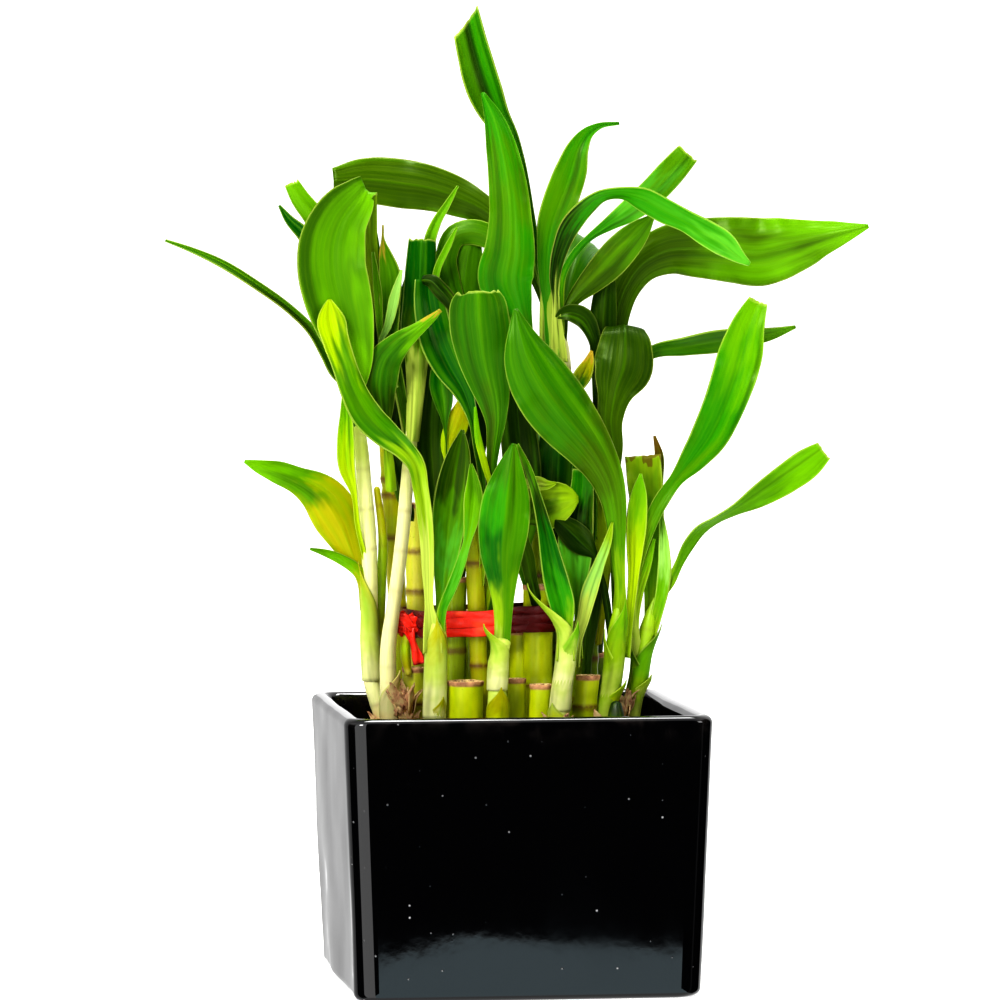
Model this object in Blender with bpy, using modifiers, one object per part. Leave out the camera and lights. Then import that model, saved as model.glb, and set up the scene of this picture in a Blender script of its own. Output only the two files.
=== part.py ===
"""Lucky bamboo: cut stalks, leafy shoots and a red ribbon, standing in a square glazed pot.

Metres, +Z up. The origin is the middle of the pot's flat underside; -Y is the front.
"""
import math

import bmesh
import bpy
import numpy as np
from mathutils import Vector

MM = 0.001

# Pot
POT_HEIGHT = 78.0
POT_TOP = 102.0            # outer side of the square at the rim
POT_BOTTOM = 96.0          # outer side of the square at the foot
POT_WALL = 5.2
POT_FLOOR = 6.0
POT_CORNER = 6.0           # radius of the upright edges outside
POT_INNER_CORNER = 3.0
POT_EDGE = 1.8             # rounding of the rim, the foot and the inner floor
CORNER_STEPS = 4
EDGE_ANGLE = math.radians(50)      # edges sharper than this are rounded
CUT_PAST = 6.0             # how far a cutter runs past the face it leaves by

# Gravel bed
BED_TOP = 60.0
BED_FOOT = POT_FLOOR + POT_EDGE + 0.5
BED_GAP = 0.5              # left between the bed and the pot
HOLE_GAP = 0.6             # left round each stalk
HOLE_BOTTOM = 22.0
HOLE_SIDES = 12
STALK_FOOT = 22.6

# Plant
PLANT_TURN = math.radians(-7.7)    # the planting is turned a little in its pot
LEAF_THICK = 0.6
LEAF_COLUMNS = 4
LEVEL_PULL = 1.6           # how soon a blade turns level across where it leans
FOLD_POWER = 1.5           # roundness of the fold along a leaf's middle
FOLD_BASE = 0.4
STALK_SIDES = 2            # bevel resolution of the round stalks
SHOOT_SIDES = 1
JOINT_HALF = 1.1           # half height of a swollen joint
JOINT_SWELL = 1.1
JOINT_NECK = 0.98
CUT_TOP = ((-1.4, 1.0), (-1.2, 1.05), (0.0, 1.02))     # (height, swell) of the dried cut top

# Ribbon
RIBBON_THICK = 0.6
RIBBON_HEIGHT = 7.4
TAIL_HALF_WIDTH = 1.4
TAIL_HALF_THICK = 0.35
KNOT_RIPPLE = 0.12

# Stalks: (across, depth) of the foot, radius, lean of the top (across, depth), top height,
# heights of the swollen joints. Across runs to the plant's right and depth away from its front.
STALKS = {
    "stalk_front_wide": (-11.8, -22.0, 4.9, 0.2, 0.0, 86.0, (69.0,)),
    "stalk_front_thin": (2.6, -20.0, 2.5, 0.1, 0.2, 86.5, (72.0,)),
    "stalk_front_mid": (8.6, -24.0, 3.1, 0.8, 0.4, 85.2, (71.0,)),
    "stalk_front_right": (19.6, -17.5, 3.3, 3.0, 0.6, 87.2, (78.4,)),
    "stalk_left_bulb": (-25.6, 1.0, 3.3, -0.6, 0.3, 88.0, (78.0,)),
    "stalk_band_lean": (-6.6, -11.0, 2.5, -3.4, 1.0, 138.0, (89.5, 118.0)),
    "stalk_band_left": (-14.9, -8.3, 3.0, 0.6, 0.0, 114.0, (93.5,)),
    "stalk_band_wide": (8.6, -10.0, 4.1, 0.0, 0.4, 112.0, (84.0,)),
    "stalk_right_olive": (22.9, -4.0, 2.4, 0.4, 0.2, 105.2, (91.0,)),
    "stalk_left_yellow": (-24.0, 10.8, 3.5, -1.6, -0.8, 134.0, (109.0, 120.5)),
    "stalk_left_ringed": (-28.6, 18.0, 2.6, -5.2, -3.0, 152.0, (104.0, 124.0, 136.0, 140.5)),
    "stalk_core": (-3.0, 2.0, 4.4, -0.6, 0.0, 126.0, (90.0, 108.0)),
    "stalk_core_shoot": (10.0, 6.0, 4.2, 0.6, 0.0, 133.0, (92.0, 114.0)),
    "stalk_back_left": (-13.6, 19.4, 4.6, -0.4, 0.6, 89.0, (74.0,)),
    "stalk_back_mid": (0.8, 23.0, 4.8, 0.2, 0.8, 86.5, (72.0,)),
    "stalk_back_right": (17.2, 18.4, 4.3, 0.8, 0.6, 91.0, (76.0,)),
}

# Shoots: points (across, depth, height, radius) from the foot up.
SHOOTS = {
    "shoot_left_fork": [(-19.9, -25.0, 22.6, 2.2), (-19.9, -25.0, 68, 2.3), (-20.2, -24.8, 75, 2.9),
                        (-20.0, -24.4, 82, 2.8), (-19.8, -24.0, 92, 2.9), (-19.5, -23.8, 100, 2.9),
                        (-19.9, -23.6, 104, 1.9)],
    "shoot_far_left": [(-33.0, 6.4, 22.6, 1.8), (-33.2, 6.2, 66, 1.9), (-35.6, 5.6, 75, 2.4),
                       (-38.2, 5.2, 84, 2.4), (-38.8, 5.0, 96, 2.3), (-38.8, 4.6, 110, 2.2),
                       (-39.2, 4.2, 125, 2.2), (-40.4, 3.8, 140, 2.1), (-41.4, 3.4, 152, 1.9),
                       (-43.6, 3.0, 164, 1.4)],
    "shoot_white": [(-31.0, -8.6, 22.6, 1.8), (-31.2, -8.6, 66, 1.9), (-33.0, -8.4, 75, 2.2),
                    (-33.4, -8.0, 85, 2.3), (-33.3, -7.6, 95, 2.2), (-32.0, -7.0, 105, 2.0),
                    (-30.3, -6.4, 118, 1.9), (-29.0, -5.8, 130, 1.9), (-28.0, -5.2, 142, 1.8),
                    (-26.7, -4.6, 155, 1.8), (-25.5, -4.2, 168, 1.9), (-25.1, -4.0, 174, 2.0)],
    "shoot_front": [(-3.2, -29.4, 22.6, 2.0), (-3.2, -29.4, 68, 2.2), (-2.9, -29.4, 74, 2.8),
                    (-2.6, -29.4, 79, 2.9), (-2.8, -29.2, 84, 2.5), (-2.4, -29.0, 92, 2.5),
                    (-1.2, -28.8, 97.6, 2.2)],
    "shoot_front_right": [(15.2, -27.2, 22.6, 1.9), (15.2, -27.2, 68, 2.0), (14.4, -26.8, 76, 2.8),
                          (15.0, -26.4, 83, 2.5), (16.2, -26.0, 91, 2.5), (16.6, -25.8, 99.6, 2.4)],
    "shoot_right": [(27.6, -14.8, 22.6, 1.9), (27.6, -14.8, 67, 2.0), (27.4, -15.2, 76, 2.6),
                    (28.8, -15.6, 83, 2.4), (30.0, -16.0, 92, 2.4), (30.6, -16.2, 102, 2.5),
                    (31.6, -16.4, 108.6, 1.6)],
    "shoot_far_right": [(33.4, -6.4, 22.6, 1.8), (33.4, -6.4, 66, 1.9), (34.8, -7.4, 77, 2.3),
                        (36.6, -8.4, 85, 2.4), (38.0, -9.0, 93, 2.3), (39.4, -9.4, 101, 2.4),
                        (40.6, -9.6, 106.6, 2.2)],
    "shoot_core": [(11.4, 6.0, 134.2, 2.6), (12.6, 5.2, 144, 2.5), (14.4, 3.4, 158, 2.6),
                   (15.4, 2.0, 169, 2.7), (14.8, 1.2, 178, 2.6), (13.4, 1.0, 185, 2.2)],
}

# Leaves: points (across, depth, height, half width, tilt in degrees) from the base to the tip.
# A positive tilt sets the right-hand side of the blade farther back.
# "fold" lifts both sides back (+) or forward (-) of the midrib, as a share of the half width.
LEAVES = {
    "leaf_left_thin": dict(fold=-0.35, points=[
        (-45.8, -0.4, 168.2, 1.2, 40), (-48.2, -1.6, 171.6, 1.7, 60), (-50.6, -2.6, 176.2, 1.6, 68),
        (-55.0, -4.2, 183.4, 1.3, 72), (-60.5, -5.8, 188.8, 1.2, 74), (-70.0, -8.2, 195.8, 1.2, 74),
        (-80.0, -10.0, 202.0, 1.1, 72), (-88.0, -11.2, 205.6, 0.7, 66), (-95.2, -12.0, 208.2, 0.4, 0)]),
    "leaf_left_broad": dict(fold=0.22, points=[
        (-34.6, -3.6, 182.0, 1.0, 0), (-36.0, -4.0, 190.0, 1.3, 0), (-37.8, -4.6, 202.0, 1.8, 0),
        (-38.8, -5.4, 213.0, 2.3, 0), (-39.4, -7.4, 220.4, 2.4, 0), (-41.0, -10.4, 222.2, 3.2, -10),
        (-44.6, -12.8, 218.8, 5.8, -14), (-48.0, -14.4, 213.6, 7.1, -12), (-49.5, -15.2, 207.6, 8.3, -10),
        (-49.4, -15.8, 201.0, 9.2, -8), (-48.2, -16.0, 194.0, 9.4, -6), (-46.2, -16.0, 187.0, 8.5, -3),
        (-43.8, -15.6, 180.0, 7.0, 0), (-42.2, -15.0, 173.0, 4.8, 0), (-41.0, -14.2, 166.0, 1.2, 0)]),
    "leaf_fork_left": dict(fold=-0.3, points=[
        (-21.6, -24.2, 107.0, 1.2, 0), (-21.9, -24.4, 116.0, 1.6, 0), (-22.4, -25.0, 128.0, 2.0, 0),
        (-23.9, -25.6, 139.6, 2.2, 0), (-25.4, -25.8, 146.6, 2.5, 0), (-28.8, -25.2, 150.8, 2.9, 18),
        (-33.5, -24.4, 154.6, 3.7, 28), (-38.5, -23.4, 159.6, 4.1, 30), (-42.5, -22.2, 166.6, 3.6, 26),
        (-45.2, -21.0, 174.0, 3.3, 14), (-47.5, -19.6, 180.6, 3.6, 0), (-49.9, -18.4, 188.6, 3.5, 0)]),
    "leaf_left_brown_tip": dict(fold=0.25, points=[
        (-33.8, -10.8, 154.6, 1.1, 0), (-34.8, -12.2, 161.6, 3.2, 8), (-35.4, -13.4, 169.0, 4.9, 10),
        (-33.8, -14.4, 175.2, 4.5, 10), (-30.0, -15.4, 179.6, 3.3, 6), (-25.0, -16.4, 183.4, 1.9, 0),
        (-21.0, -17.2, 186.6, 1.1, 0), (-18.4, -17.8, 188.8, 0.5, 0)]),
    "leaf_back_olive": dict(fold=0.3, points=[
        (7.6, 6.4, 198.0, 1.4, 0), (3.4, 8.0, 206.6, 2.4, 0), (-1.0, 9.4, 212.0, 3.2, 6),
        (-6.0, 10.4, 216.4, 3.8, 10), (-13.0, 11.2, 220.0, 5.3, 12), (-22.0, 11.4, 223.0, 6.4, 14),
        (-31.0, 10.6, 224.4, 6.9, 12), (-40.0, 9.2, 225.3, 6.2, 8), (-49.0, 7.2, 225.0, 3.6, 0)]),
    "leaf_left_rolled": dict(fold=-0.75, points=[
        (-25.4, -3.2, 177.2, 2.2, 0), (-25.4, -2.6, 183.0, 3.8, 0), (-24.7, -2.0, 190.0, 4.6, 0),
        (-24.2, -1.4, 200.0, 4.3, 0), (-23.8, -0.8, 209.0, 3.7, 0)]),
    "leaf_deep_trough": dict(fold=-0.5, points=[
        (-6.9, -14.6, 141.0, 0.9, 0), (-8.2, -15.2, 150.0, 1.1, 0), (-9.6, -15.4, 158.6, 1.4, 0),
        (-12.2, -14.0, 166.2, 2.8, 10), (-15.8, -12.6, 172.4, 4.2, 14), (-19.0, -11.4, 179.2, 4.8, 12),
        (-20.8, -10.6, 186.0, 4.7, 8), (-21.8, -10.0, 192.0, 4.2, 4), (-22.2, -9.4, 197.4, 3.5, 0)]),
    "leaf_frilled_cut": dict(fold=0.12, points=[
        (-3.8, -13.6, 132.0, 1.0, 0), (-4.4, -15.8, 143.0, 1.3, 0), (-3.9, -18.4, 150.6, 1.8, 0),
        (-3.2, -20.8, 158.0, 2.9, 0), (-3.9, -22.6, 164.4, 4.6, -4), (-5.3, -24.0, 170.2, 6.0, -6),
        (-6.5, -25.2, 176.0, 7.3, -6), (-7.2, -26.2, 182.0, 8.3, -4), (-7.8, -27.0, 187.0, 8.3, -4),
        (-8.0, -27.4, 191.4, 7.6, -4), (-8.2, -27.6, 195.0, 5.6, -2)]),
    "leaf_centre_big": dict(fold=0.2, points=[
        (31.4, -17.4, 112.0, 1.5, 0), (30.8, -18.0, 120.0, 2.0, 0), (30.4, -19.0, 128.0, 2.6, 6),
        (29.6, -21.0, 135.6, 3.5, 10), (28.0, -23.8, 141.6, 4.5, 12), (25.3, -27.0, 147.2, 5.7, 14),
        (21.5, -30.4, 152.8, 7.1, 14), (16.5, -33.8, 159.0, 8.5, 12), (11.5, -36.0, 165.6, 8.9, 8),
        (7.8, -36.6, 171.6, 8.1, 4), (5.2, -36.2, 177.2, 6.4, 0), (3.6, -35.2, 182.8, 3.7, 0),
        (2.3, -33.6, 189.4, 0.5, 0)]),
    "leaf_centre_tall": dict(fold=0.3, points=[
        (6.4, -6.4, 176.0, 1.6, 0), (4.2, -7.4, 184.0, 3.0, 0), (1.8, -8.2, 190.0, 5.4, 0),
        (-0.4, -8.8, 197.0, 7.7, -6), (0.7, -9.2, 205.0, 7.1, -8), (0.9, -9.4, 215.0, 5.9, -8),
        (0.0, -9.2, 225.0, 5.2, -6), (-1.8, -8.8, 235.0, 4.1, -4), (-3.7, -8.4, 242.0, 2.7, 0),
        (-6.9, -8.0, 249.4, 0.5, 0)]),
    "leaf_top_folded": dict(fold=-0.8, slant=0.85, points=[
        (10.8, 3.4, 191.0, 1.1, 0), (8.6, 3.2, 203.0, 1.1, 0), (6.6, 2.8, 215.0, 1.1, 0),
        (5.0, 2.4, 225.0, 1.1, 20), (3.2, 2.0, 232.0, 1.4, 20), (0.6, 1.6, 238.0, 2.3, 10),
        (-3.4, 1.0, 243.6, 3.9, 0), (-6.0, 0.8, 249.4, 4.8, 0), (-8.0, 0.8, 255.4, 4.9, 0),
        (-9.8, 1.2, 262.0, 4.5, 0), (-11.6, 1.8, 269.6, 4.1, 0)]),
    "leaf_upper_hooked": dict(fold=-0.25, points=[
        (11.4, -1.6, 189.0, 1.2, 0), (11.0, -3.0, 197.0, 2.1, 0), (11.4, -4.2, 206.0, 3.1, 0),
        (12.6, -5.2, 213.0, 4.1, 4), (15.5, -6.0, 221.0, 4.8, 6), (18.0, -6.2, 228.0, 4.4, 4),
        (19.8, -5.6, 234.0, 3.0, 0), (22.3, -4.4, 238.0, 1.8, 0), (25.8, -2.8, 240.2, 0.9, 0),
        (31.4, -0.6, 241.0, 0.4, 0)]),
    "leaf_upper_arching": dict(fold=-0.2, points=[
        (13.6, -3.4, 191.4, 1.1, 0), (13.4, -7.4, 198.6, 1.6, 10), (15.0, -11.4, 206.2, 2.3, 20),
        (17.6, -13.8, 212.2, 2.8, 24), (21.5, -15.8, 217.0, 2.4, 40), (26.5, -17.4, 220.6, 1.6, 56),
        (32.0, -18.4, 221.2, 1.6, 56), (37.4, -19.0, 219.6, 3.1, 32), (43.4, -19.6, 216.4, 3.4, 20),
        (50.0, -20.4, 213.2, 3.0, 24), (55.4, -21.2, 210.0, 3.5, 20), (60.2, -22.0, 207.0, 3.4, 14),
        (64.2, -22.8, 203.6, 1.8, 6), (67.0, -23.4, 201.6, 0.6, 0)]),
    "leaf_upper_cut": dict(fold=0.15, points=[
        (16.0, -2.4, 199.4, 0.9, 0), (19.0, -4.4, 204.8, 1.0, 30), (23.5, -6.2, 209.4, 1.0, 40),
        (28.5, -7.8, 212.8, 1.9, 30), (34.0, -9.0, 216.4, 3.2, 16), (40.0, -9.8, 221.2, 3.8, 8),
        (45.5, -10.0, 227.0, 3.9, 4), (50.7, -9.6, 232.8, 3.3, 0)]),
    "leaf_upper_olive": dict(fold=0.25, points=[
        (16.6, -0.6, 188.4, 1.1, 0), (19.0, -0.4, 192.0, 2.0, 0), (23.0, -0.4, 196.2, 3.4, 6),
        (27.8, -0.8, 201.0, 4.5, 10), (32.6, -1.4, 206.2, 4.5, 8), (37.0, -2.2, 211.0, 3.2, 4),
        (41.0, -3.0, 215.2, 0.5, 0)]),
    "leaf_right_big": dict(fold=0.28, points=[
        (30.8, 9.6, 168.0, 1.8, 0), (30.6, 10.2, 178.0, 2.9, 0), (31.0, 10.4, 187.0, 3.6, 0),
        (33.4, 10.2, 195.0, 4.2, 0), (38.0, 9.6, 201.6, 5.4, 4), (45.0, 8.6, 205.4, 6.9, 8),
        (54.0, 7.0, 206.0, 8.3, 10), (63.0, 5.0, 205.6, 9.2, 12), (71.0, 3.0, 205.0, 9.6, 12),
        (80.0, 0.6, 206.8, 7.8, 8), (88.0, -1.8, 208.8, 5.1, 4), (95.0, -4.0, 210.6, 2.7, 0),
        (101.0, -6.0, 212.2, 0.5, 0)]),
    "leaf_right_thin": dict(fold=-0.3, points=[
        (33.6, 3.0, 170.0, 0.9, 0), (41.0, 3.4, 176.8, 1.8, 20), (50.0, 3.0, 178.4, 2.6, 40),
        (59.0, 2.4, 179.8, 3.2, 46), (68.0, 1.4, 181.0, 2.6, 44), (75.0, 0.4, 182.2, 1.6, 30),
        (81.0, -0.6, 184.0, 0.4, 0)]),
    "leaf_right_upright": dict(fold=-0.22, points=[
        (36.4, -13.4, 117.0, 1.2, 0), (39.0, -14.0, 127.0, 1.9, 0), (43.0, -13.6, 135.8, 2.1, 0),
        (47.2, -12.6, 141.6, 2.0, 10), (51.8, -11.6, 147.2, 3.8, 20), (56.4, -10.6, 153.6, 5.3, 20),
        (60.0, -9.6, 161.0, 5.8, 16), (63.0, -8.6, 169.0, 6.2, 12), (65.4, -7.6, 177.0, 6.2, 8),
        (67.6, -6.6, 185.0, 4.5, 4), (70.4, -5.4, 191.6, 2.7, 0)]),
    "leaf_right_round_fold": dict(fold=0.2, points=[
        (29.6, -9.6, 141.0, 1.6, 0), (30.0, -9.4, 150.0, 2.5, 0), (29.4, -9.0, 158.0, 3.3, 0),
        (30.6, -8.4, 166.0, 5.4, 4), (32.2, -7.4, 172.6, 7.8, 6), (33.0, -5.8, 178.6, 7.6, 6),
        (33.0, -3.4, 182.8, 6.2, 4), (33.0, -0.6, 184.0, 5.0, 0), (33.2, 1.8, 182.4, 3.4, 0),
        (33.4, 3.4, 178.6, 0.8, 0)]),
    "leaf_right_low": dict(fold=-0.15, points=[
        (43.2, -10.4, 108.6, 1.0, 0), (45.6, -11.2, 112.8, 1.3, 0), (48.0, -12.0, 118.0, 1.2, 20),
        (50.6, -12.8, 123.2, 1.6, 30), (54.0, -13.4, 127.6, 1.5, 50), (58.0, -13.8, 130.2, 1.1, 60),
        (63.0, -14.0, 132.9, 1.5, 50), (70.0, -13.8, 136.9, 3.2, 24), (78.0, -13.2, 142.0, 4.2, 10),
        (84.0, -12.4, 146.2, 4.2, 4), (88.6, -11.6, 149.8, 2.8, 0)]),
    "leaf_right_brown_cut": dict(fold=-0.3, points=[
        (40.2, -7.2, 110.0, 1.8, 0), (40.4, -6.6, 118.0, 2.8, 0), (40.0, -6.0, 128.0, 4.0, 0),
        (38.8, -5.4, 138.0, 4.8, 0), (38.0, -4.8, 148.2, 5.0, 0)]),
    "leaf_band_glossy": dict(fold=-0.25, points=[
        (19.5, -18.2, 106.4, 0.9, 0), (19.3, -18.0, 111.0, 2.2, 0), (19.0, -17.6, 118.0, 4.2, 0),
        (19.0, -17.0, 124.6, 4.9, 0), (19.5, -16.2, 131.0, 4.6, 0), (20.8, -15.2, 138.0, 3.4, 0),
        (21.0, -14.2, 145.0, 2.7, 0)]),
    "leaf_front_centre": dict(fold=0.35, points=[
        (-1.3, -29.2, 99.4, 2.2, 0), (-1.1, -29.6, 106.0, 2.6, 0), (-1.3, -30.0, 114.0, 4.0, 0),
        (-1.5, -30.6, 122.0, 6.0, 0), (-0.9, -31.0, 130.0, 7.0, 0), (-0.1, -31.0, 138.0, 6.3, 0),
        (0.9, -30.4, 146.0, 3.4, 0), (1.8, -29.6, 152.2, 0.5, 0)]),
    "leaf_front_dark": dict(fold=-0.35, points=[
        (16.0, -27.2, 101.4, 2.2, 0), (15.3, -27.6, 107.0, 3.4, 6), (13.6, -28.2, 114.0, 3.5, 10),
        (12.0, -28.8, 121.0, 2.9, 14), (10.3, -29.0, 129.0, 2.0, 20), (8.3, -28.8, 137.0, 1.4, 20),
        (5.8, -28.0, 145.0, 1.1, 10), (2.8, -27.0, 152.0, 0.4, 0)]),
    "leaf_fork_glossy": dict(fold=-0.25, points=[
        (-18.4, -20.0, 106.6, 1.4, 0), (-17.9, -20.0, 113.0, 2.2, 0), (-17.0, -20.0, 122.0, 3.8, 0),
        (-16.0, -19.8, 132.0, 4.8, 0), (-14.6, -19.2, 142.0, 4.5, 0), (-13.2, -18.4, 150.0, 2.9, 0),
        (-12.4, -17.8, 155.6, 0.5, 0)]),
    "leaf_fork_bright": dict(fold=-0.2, points=[
        (-17.9, -24.8, 106.2, 1.3, 0), (-15.4, -25.2, 112.0, 1.5, 0), (-12.8, -25.4, 119.0, 1.4, 0),
        (-11.0, -25.4, 125.0, 1.2, 0), (-9.9, -25.2, 131.0, 2.2, 0), (-9.3, -24.8, 137.0, 2.7, 0),
        (-9.5, -24.2, 142.4, 1.6, 0), (-10.0, -23.8, 146.4, 0.4, 0)]),
    "leaf_left_droop": dict(fold=0.28, points=[
        (-43.0, 4.0, 117.0, 1.2, 0), (-45.2, 3.4, 122.5, 3.2, 0), (-48.4, 2.2, 129.5, 6.2, 6),
        (-52.2, 0.8, 136.4, 6.0, 10), (-58.6, -1.0, 140.6, 3.8, 10), (-65.0, -2.8, 143.4, 3.0, 8),
        (-70.0, -4.0, 145.0, 1.7, 4), (-73.6, -4.8, 146.4, 0.5, 0)]),
    "leaf_behind_arch": dict(fold=0.3, points=[
        (-13.0, 3.0, 188.0, 1.8, 0), (-16.0, 4.0, 196.0, 3.0, 0), (-17.0, 4.4, 204.0, 3.0, 0),
        (-14.6, 4.4, 209.4, 3.2, 0), (-10.0, 4.0, 210.6, 3.6, 0), (-4.4, 3.4, 209.0, 3.2, 0),
        (0.6, 3.0, 206.4, 0.8, 0)]),
    "leaf_rear_right": dict(fold=0.25, points=[
        (15.0, 5.2, 184.0, 1.2, 0), (17.4, 11.0, 194.0, 3.2, 10), (20.4, 20.0, 203.0, 5.8, 14),
        (23.6, 31.0, 206.6, 6.6, 14), (26.8, 42.0, 203.0, 5.2, 10), (29.6, 51.0, 195.4, 0.5, 0)]),
    "leaf_rear_left": dict(fold=0.25, points=[
        (-34.4, 16.4, 154.0, 1.3, 0), (-35.8, 20.6, 164.0, 3.6, -8), (-38.2, 28.0, 174.4, 6.2, -14),
        (-41.4, 38.0, 181.0, 6.6, -14), (-45.0, 48.0, 180.0, 4.6, -10), (-48.6, 56.0, 173.6, 0.5, 0)]),
    "leaf_rear_low": dict(fold=0.25, points=[
        (1.4, 8.6, 128.0, 1.3, 0), (3.6, 15.0, 140.0, 3.8, 8), (5.8, 24.0, 150.0, 6.4, 12),
        (7.8, 34.0, 154.4, 6.2, 12), (9.8, 44.0, 151.0, 4.2, 8), (11.6, 52.0, 144.0, 0.5, 0)]),
}

# Ribbon loop: (across, depth, middle height) of the band round the inner stalks.
RIBBON_LOOP = [(-19.6, -12.6, 101.0), (-14.6, -13.4, 101.2), (-8.0, -14.6, 101.4), (2.0, -15.2, 102.4),
               (9.4, -15.6, 102.8), (14.0, -12.0, 103.0), (16.2, -2.0, 103.0), (16.0, 8.0, 102.6),
               (10.0, 12.2, 102.2), (-2.0, 13.6, 101.8), (-14.0, 15.6, 101.2), (-24.6, 16.0, 100.6),
               (-29.6, 12.6, 100.4), (-29.4, 6.4, 100.4), (-24.6, -4.6, 100.6)]
KNOT_CENTRE = (-28.3, -3.6, 100.4)
KNOT_SIZE = (1.9, 1.8, 3.3)
TAIL_POINTS = [(-28.1, -4.0, 99.0), (-26.8, -5.6, 96.0), (-25.4, -6.0, 92.6), (-24.9, -6.0, 89.6)]


def clear_scene():
    for item in list(bpy.data.objects):
        bpy.data.objects.remove(item, do_unlink=True)


def plant_point(across, depth, height):
    """Turn a point of the planting into the object's own axes, in metres."""
    c, s = math.cos(PLANT_TURN), math.sin(PLANT_TURN)
    return Vector(((across * c - depth * s) * MM, (across * s + depth * c) * MM, height * MM))


def make_material(name, colour, roughness, metallic=0.0):
    material = bpy.data.materials.new(name)
    material.use_nodes = True
    shader = material.node_tree.nodes["Principled BSDF"]
    shader.inputs["Base Color"].default_value = (*colour, 1.0)
    shader.inputs["Roughness"].default_value = roughness
    shader.inputs["Metallic"].default_value = metallic
    return material


def add_object(name, data, collection, material):
    item = bpy.data.objects.new(name, data)
    collection.objects.link(item)
    data.materials.append(material)
    return item


def pot_side(height):
    """The outer side of the square pot at one height."""
    return POT_BOTTOM + (POT_TOP - POT_BOTTOM) * height / POT_HEIGHT


def square_block(name, low, high, inset, corner):
    """A block that follows the pot's taper from low to high, set in from its outer side."""
    bm = bmesh.new()
    bmesh.ops.create_cube(bm, size=1.0)
    for vert in bm.verts:
        level = high if vert.co.z > 0 else low
        side = pot_side(level) - 2 * inset
        vert.co = Vector((vert.co.x * side, vert.co.y * side, level)) * MM
    upright = [e for e in bm.edges if abs(e.verts[0].co.z - e.verts[1].co.z) > MM]
    bmesh.ops.bevel(bm, geom=upright, offset=corner * MM, segments=CORNER_STEPS, profile=0.5, affect="EDGES")
    bmesh.ops.recalc_face_normals(bm, faces=bm.faces)
    mesh = bpy.data.meshes.new(name)
    bm.to_mesh(mesh)
    bm.free()
    return mesh


def cut_away(item, name, cutter_mesh, cutters):
    """Cut one object by a closed mesh, which stays in the cutters' collection."""
    cutter = bpy.data.objects.new(name, cutter_mesh)
    cutters.objects.link(cutter)
    cutter.hide_render = True
    cutter.display_type = "WIRE"
    cut = item.modifiers.new(name, "BOOLEAN")
    cut.operation = "DIFFERENCE"
    cut.solver = "EXACT"
    cut.object = cutter


def build_pot(collection, cutters):
    glaze = make_material("pot_glaze", (0.01, 0.01, 0.012), 0.08)
    body = square_block("pot", 0.0, POT_HEIGHT, 0.0, POT_CORNER)
    pot = add_object("pot", body, collection, glaze)
    hollow = square_block("pot_hollow", POT_FLOOR, POT_HEIGHT + CUT_PAST, POT_WALL, POT_INNER_CORNER)
    cut_away(pot, "pot_hollow", hollow, cutters)
    edges = pot.modifiers.new("rounded_edges", "BEVEL")
    edges.limit_method = "ANGLE"
    edges.angle_limit = EDGE_ANGLE
    edges.width = POT_EDGE * MM
    edges.segments = 3
    return pot


def build_bed(collection, cutters):
    gravel = make_material("gravel", (0.09, 0.07, 0.05), 0.9)
    block = square_block("gravel_bed", BED_FOOT, BED_TOP, POT_WALL + BED_GAP, POT_INNER_CORNER)
    bed = add_object("gravel_bed", block, collection, gravel)
    holes = bmesh.new()
    length = BED_TOP + CUT_PAST - HOLE_BOTTOM
    for across, depth, radius in planted_feet():
        wide = (radius + HOLE_GAP) * MM
        made = bmesh.ops.create_cone(holes, cap_ends=True, segments=HOLE_SIDES, radius1=wide,
                                     radius2=wide, depth=length * MM)
        spot = plant_point(across, depth, HOLE_BOTTOM + length / 2)
        bmesh.ops.translate(holes, verts=made["verts"], vec=spot)
    hole_mesh = bpy.data.meshes.new("stalk_holes")
    holes.to_mesh(hole_mesh)
    holes.free()
    cut_away(bed, "stalk_holes", hole_mesh, cutters)
    return bed


def planted_feet():
    """Every round stem that goes down into the bed: (across, depth, radius)."""
    for foot in STALKS.values():
        yield foot[0], foot[1], foot[2]
    for path in SHOOTS.values():
        if path[0][2] < BED_TOP:
            yield path[0][0], path[0][1], path[1][3]


def tube(name, points, resolution, collection, material):
    """A round stem along points (across, depth, height, radius), closed at both ends."""
    data = bpy.data.curves.new(name, "CURVE")
    data.dimensions = "3D"
    data.bevel_depth = MM
    data.bevel_resolution = resolution
    data.use_fill_caps = True
    data.resolution_u = 1
    data.render_resolution_u = 1
    spline = data.splines.new("POLY")
    spline.points.add(len(points) - 1)
    for spot, (across, depth, height, radius) in zip(spline.points, points):
        spot.co = (*plant_point(across, depth, height), 1.0)
        spot.radius = radius
    return add_object(name, data, collection, material)


def stalk_points(foot):
    across, depth, radius, lean_across, lean_depth, top, joints = foot
    stops = [(STALK_FOOT, 1.0), (BED_TOP, 1.0)]
    for joint in joints:
        stops += [(joint - JOINT_HALF, JOINT_NECK), (joint, JOINT_SWELL), (joint + JOINT_HALF, JOINT_NECK)]
    stops += [(top + lift, swell) for lift, swell in CUT_TOP]
    points = []
    for height, swell in stops:
        share = max(0.0, (height - BED_TOP) / (top - BED_TOP))
        points.append((across + lean_across * share, depth + lean_depth * share, height, radius * swell))
    return points


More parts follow.
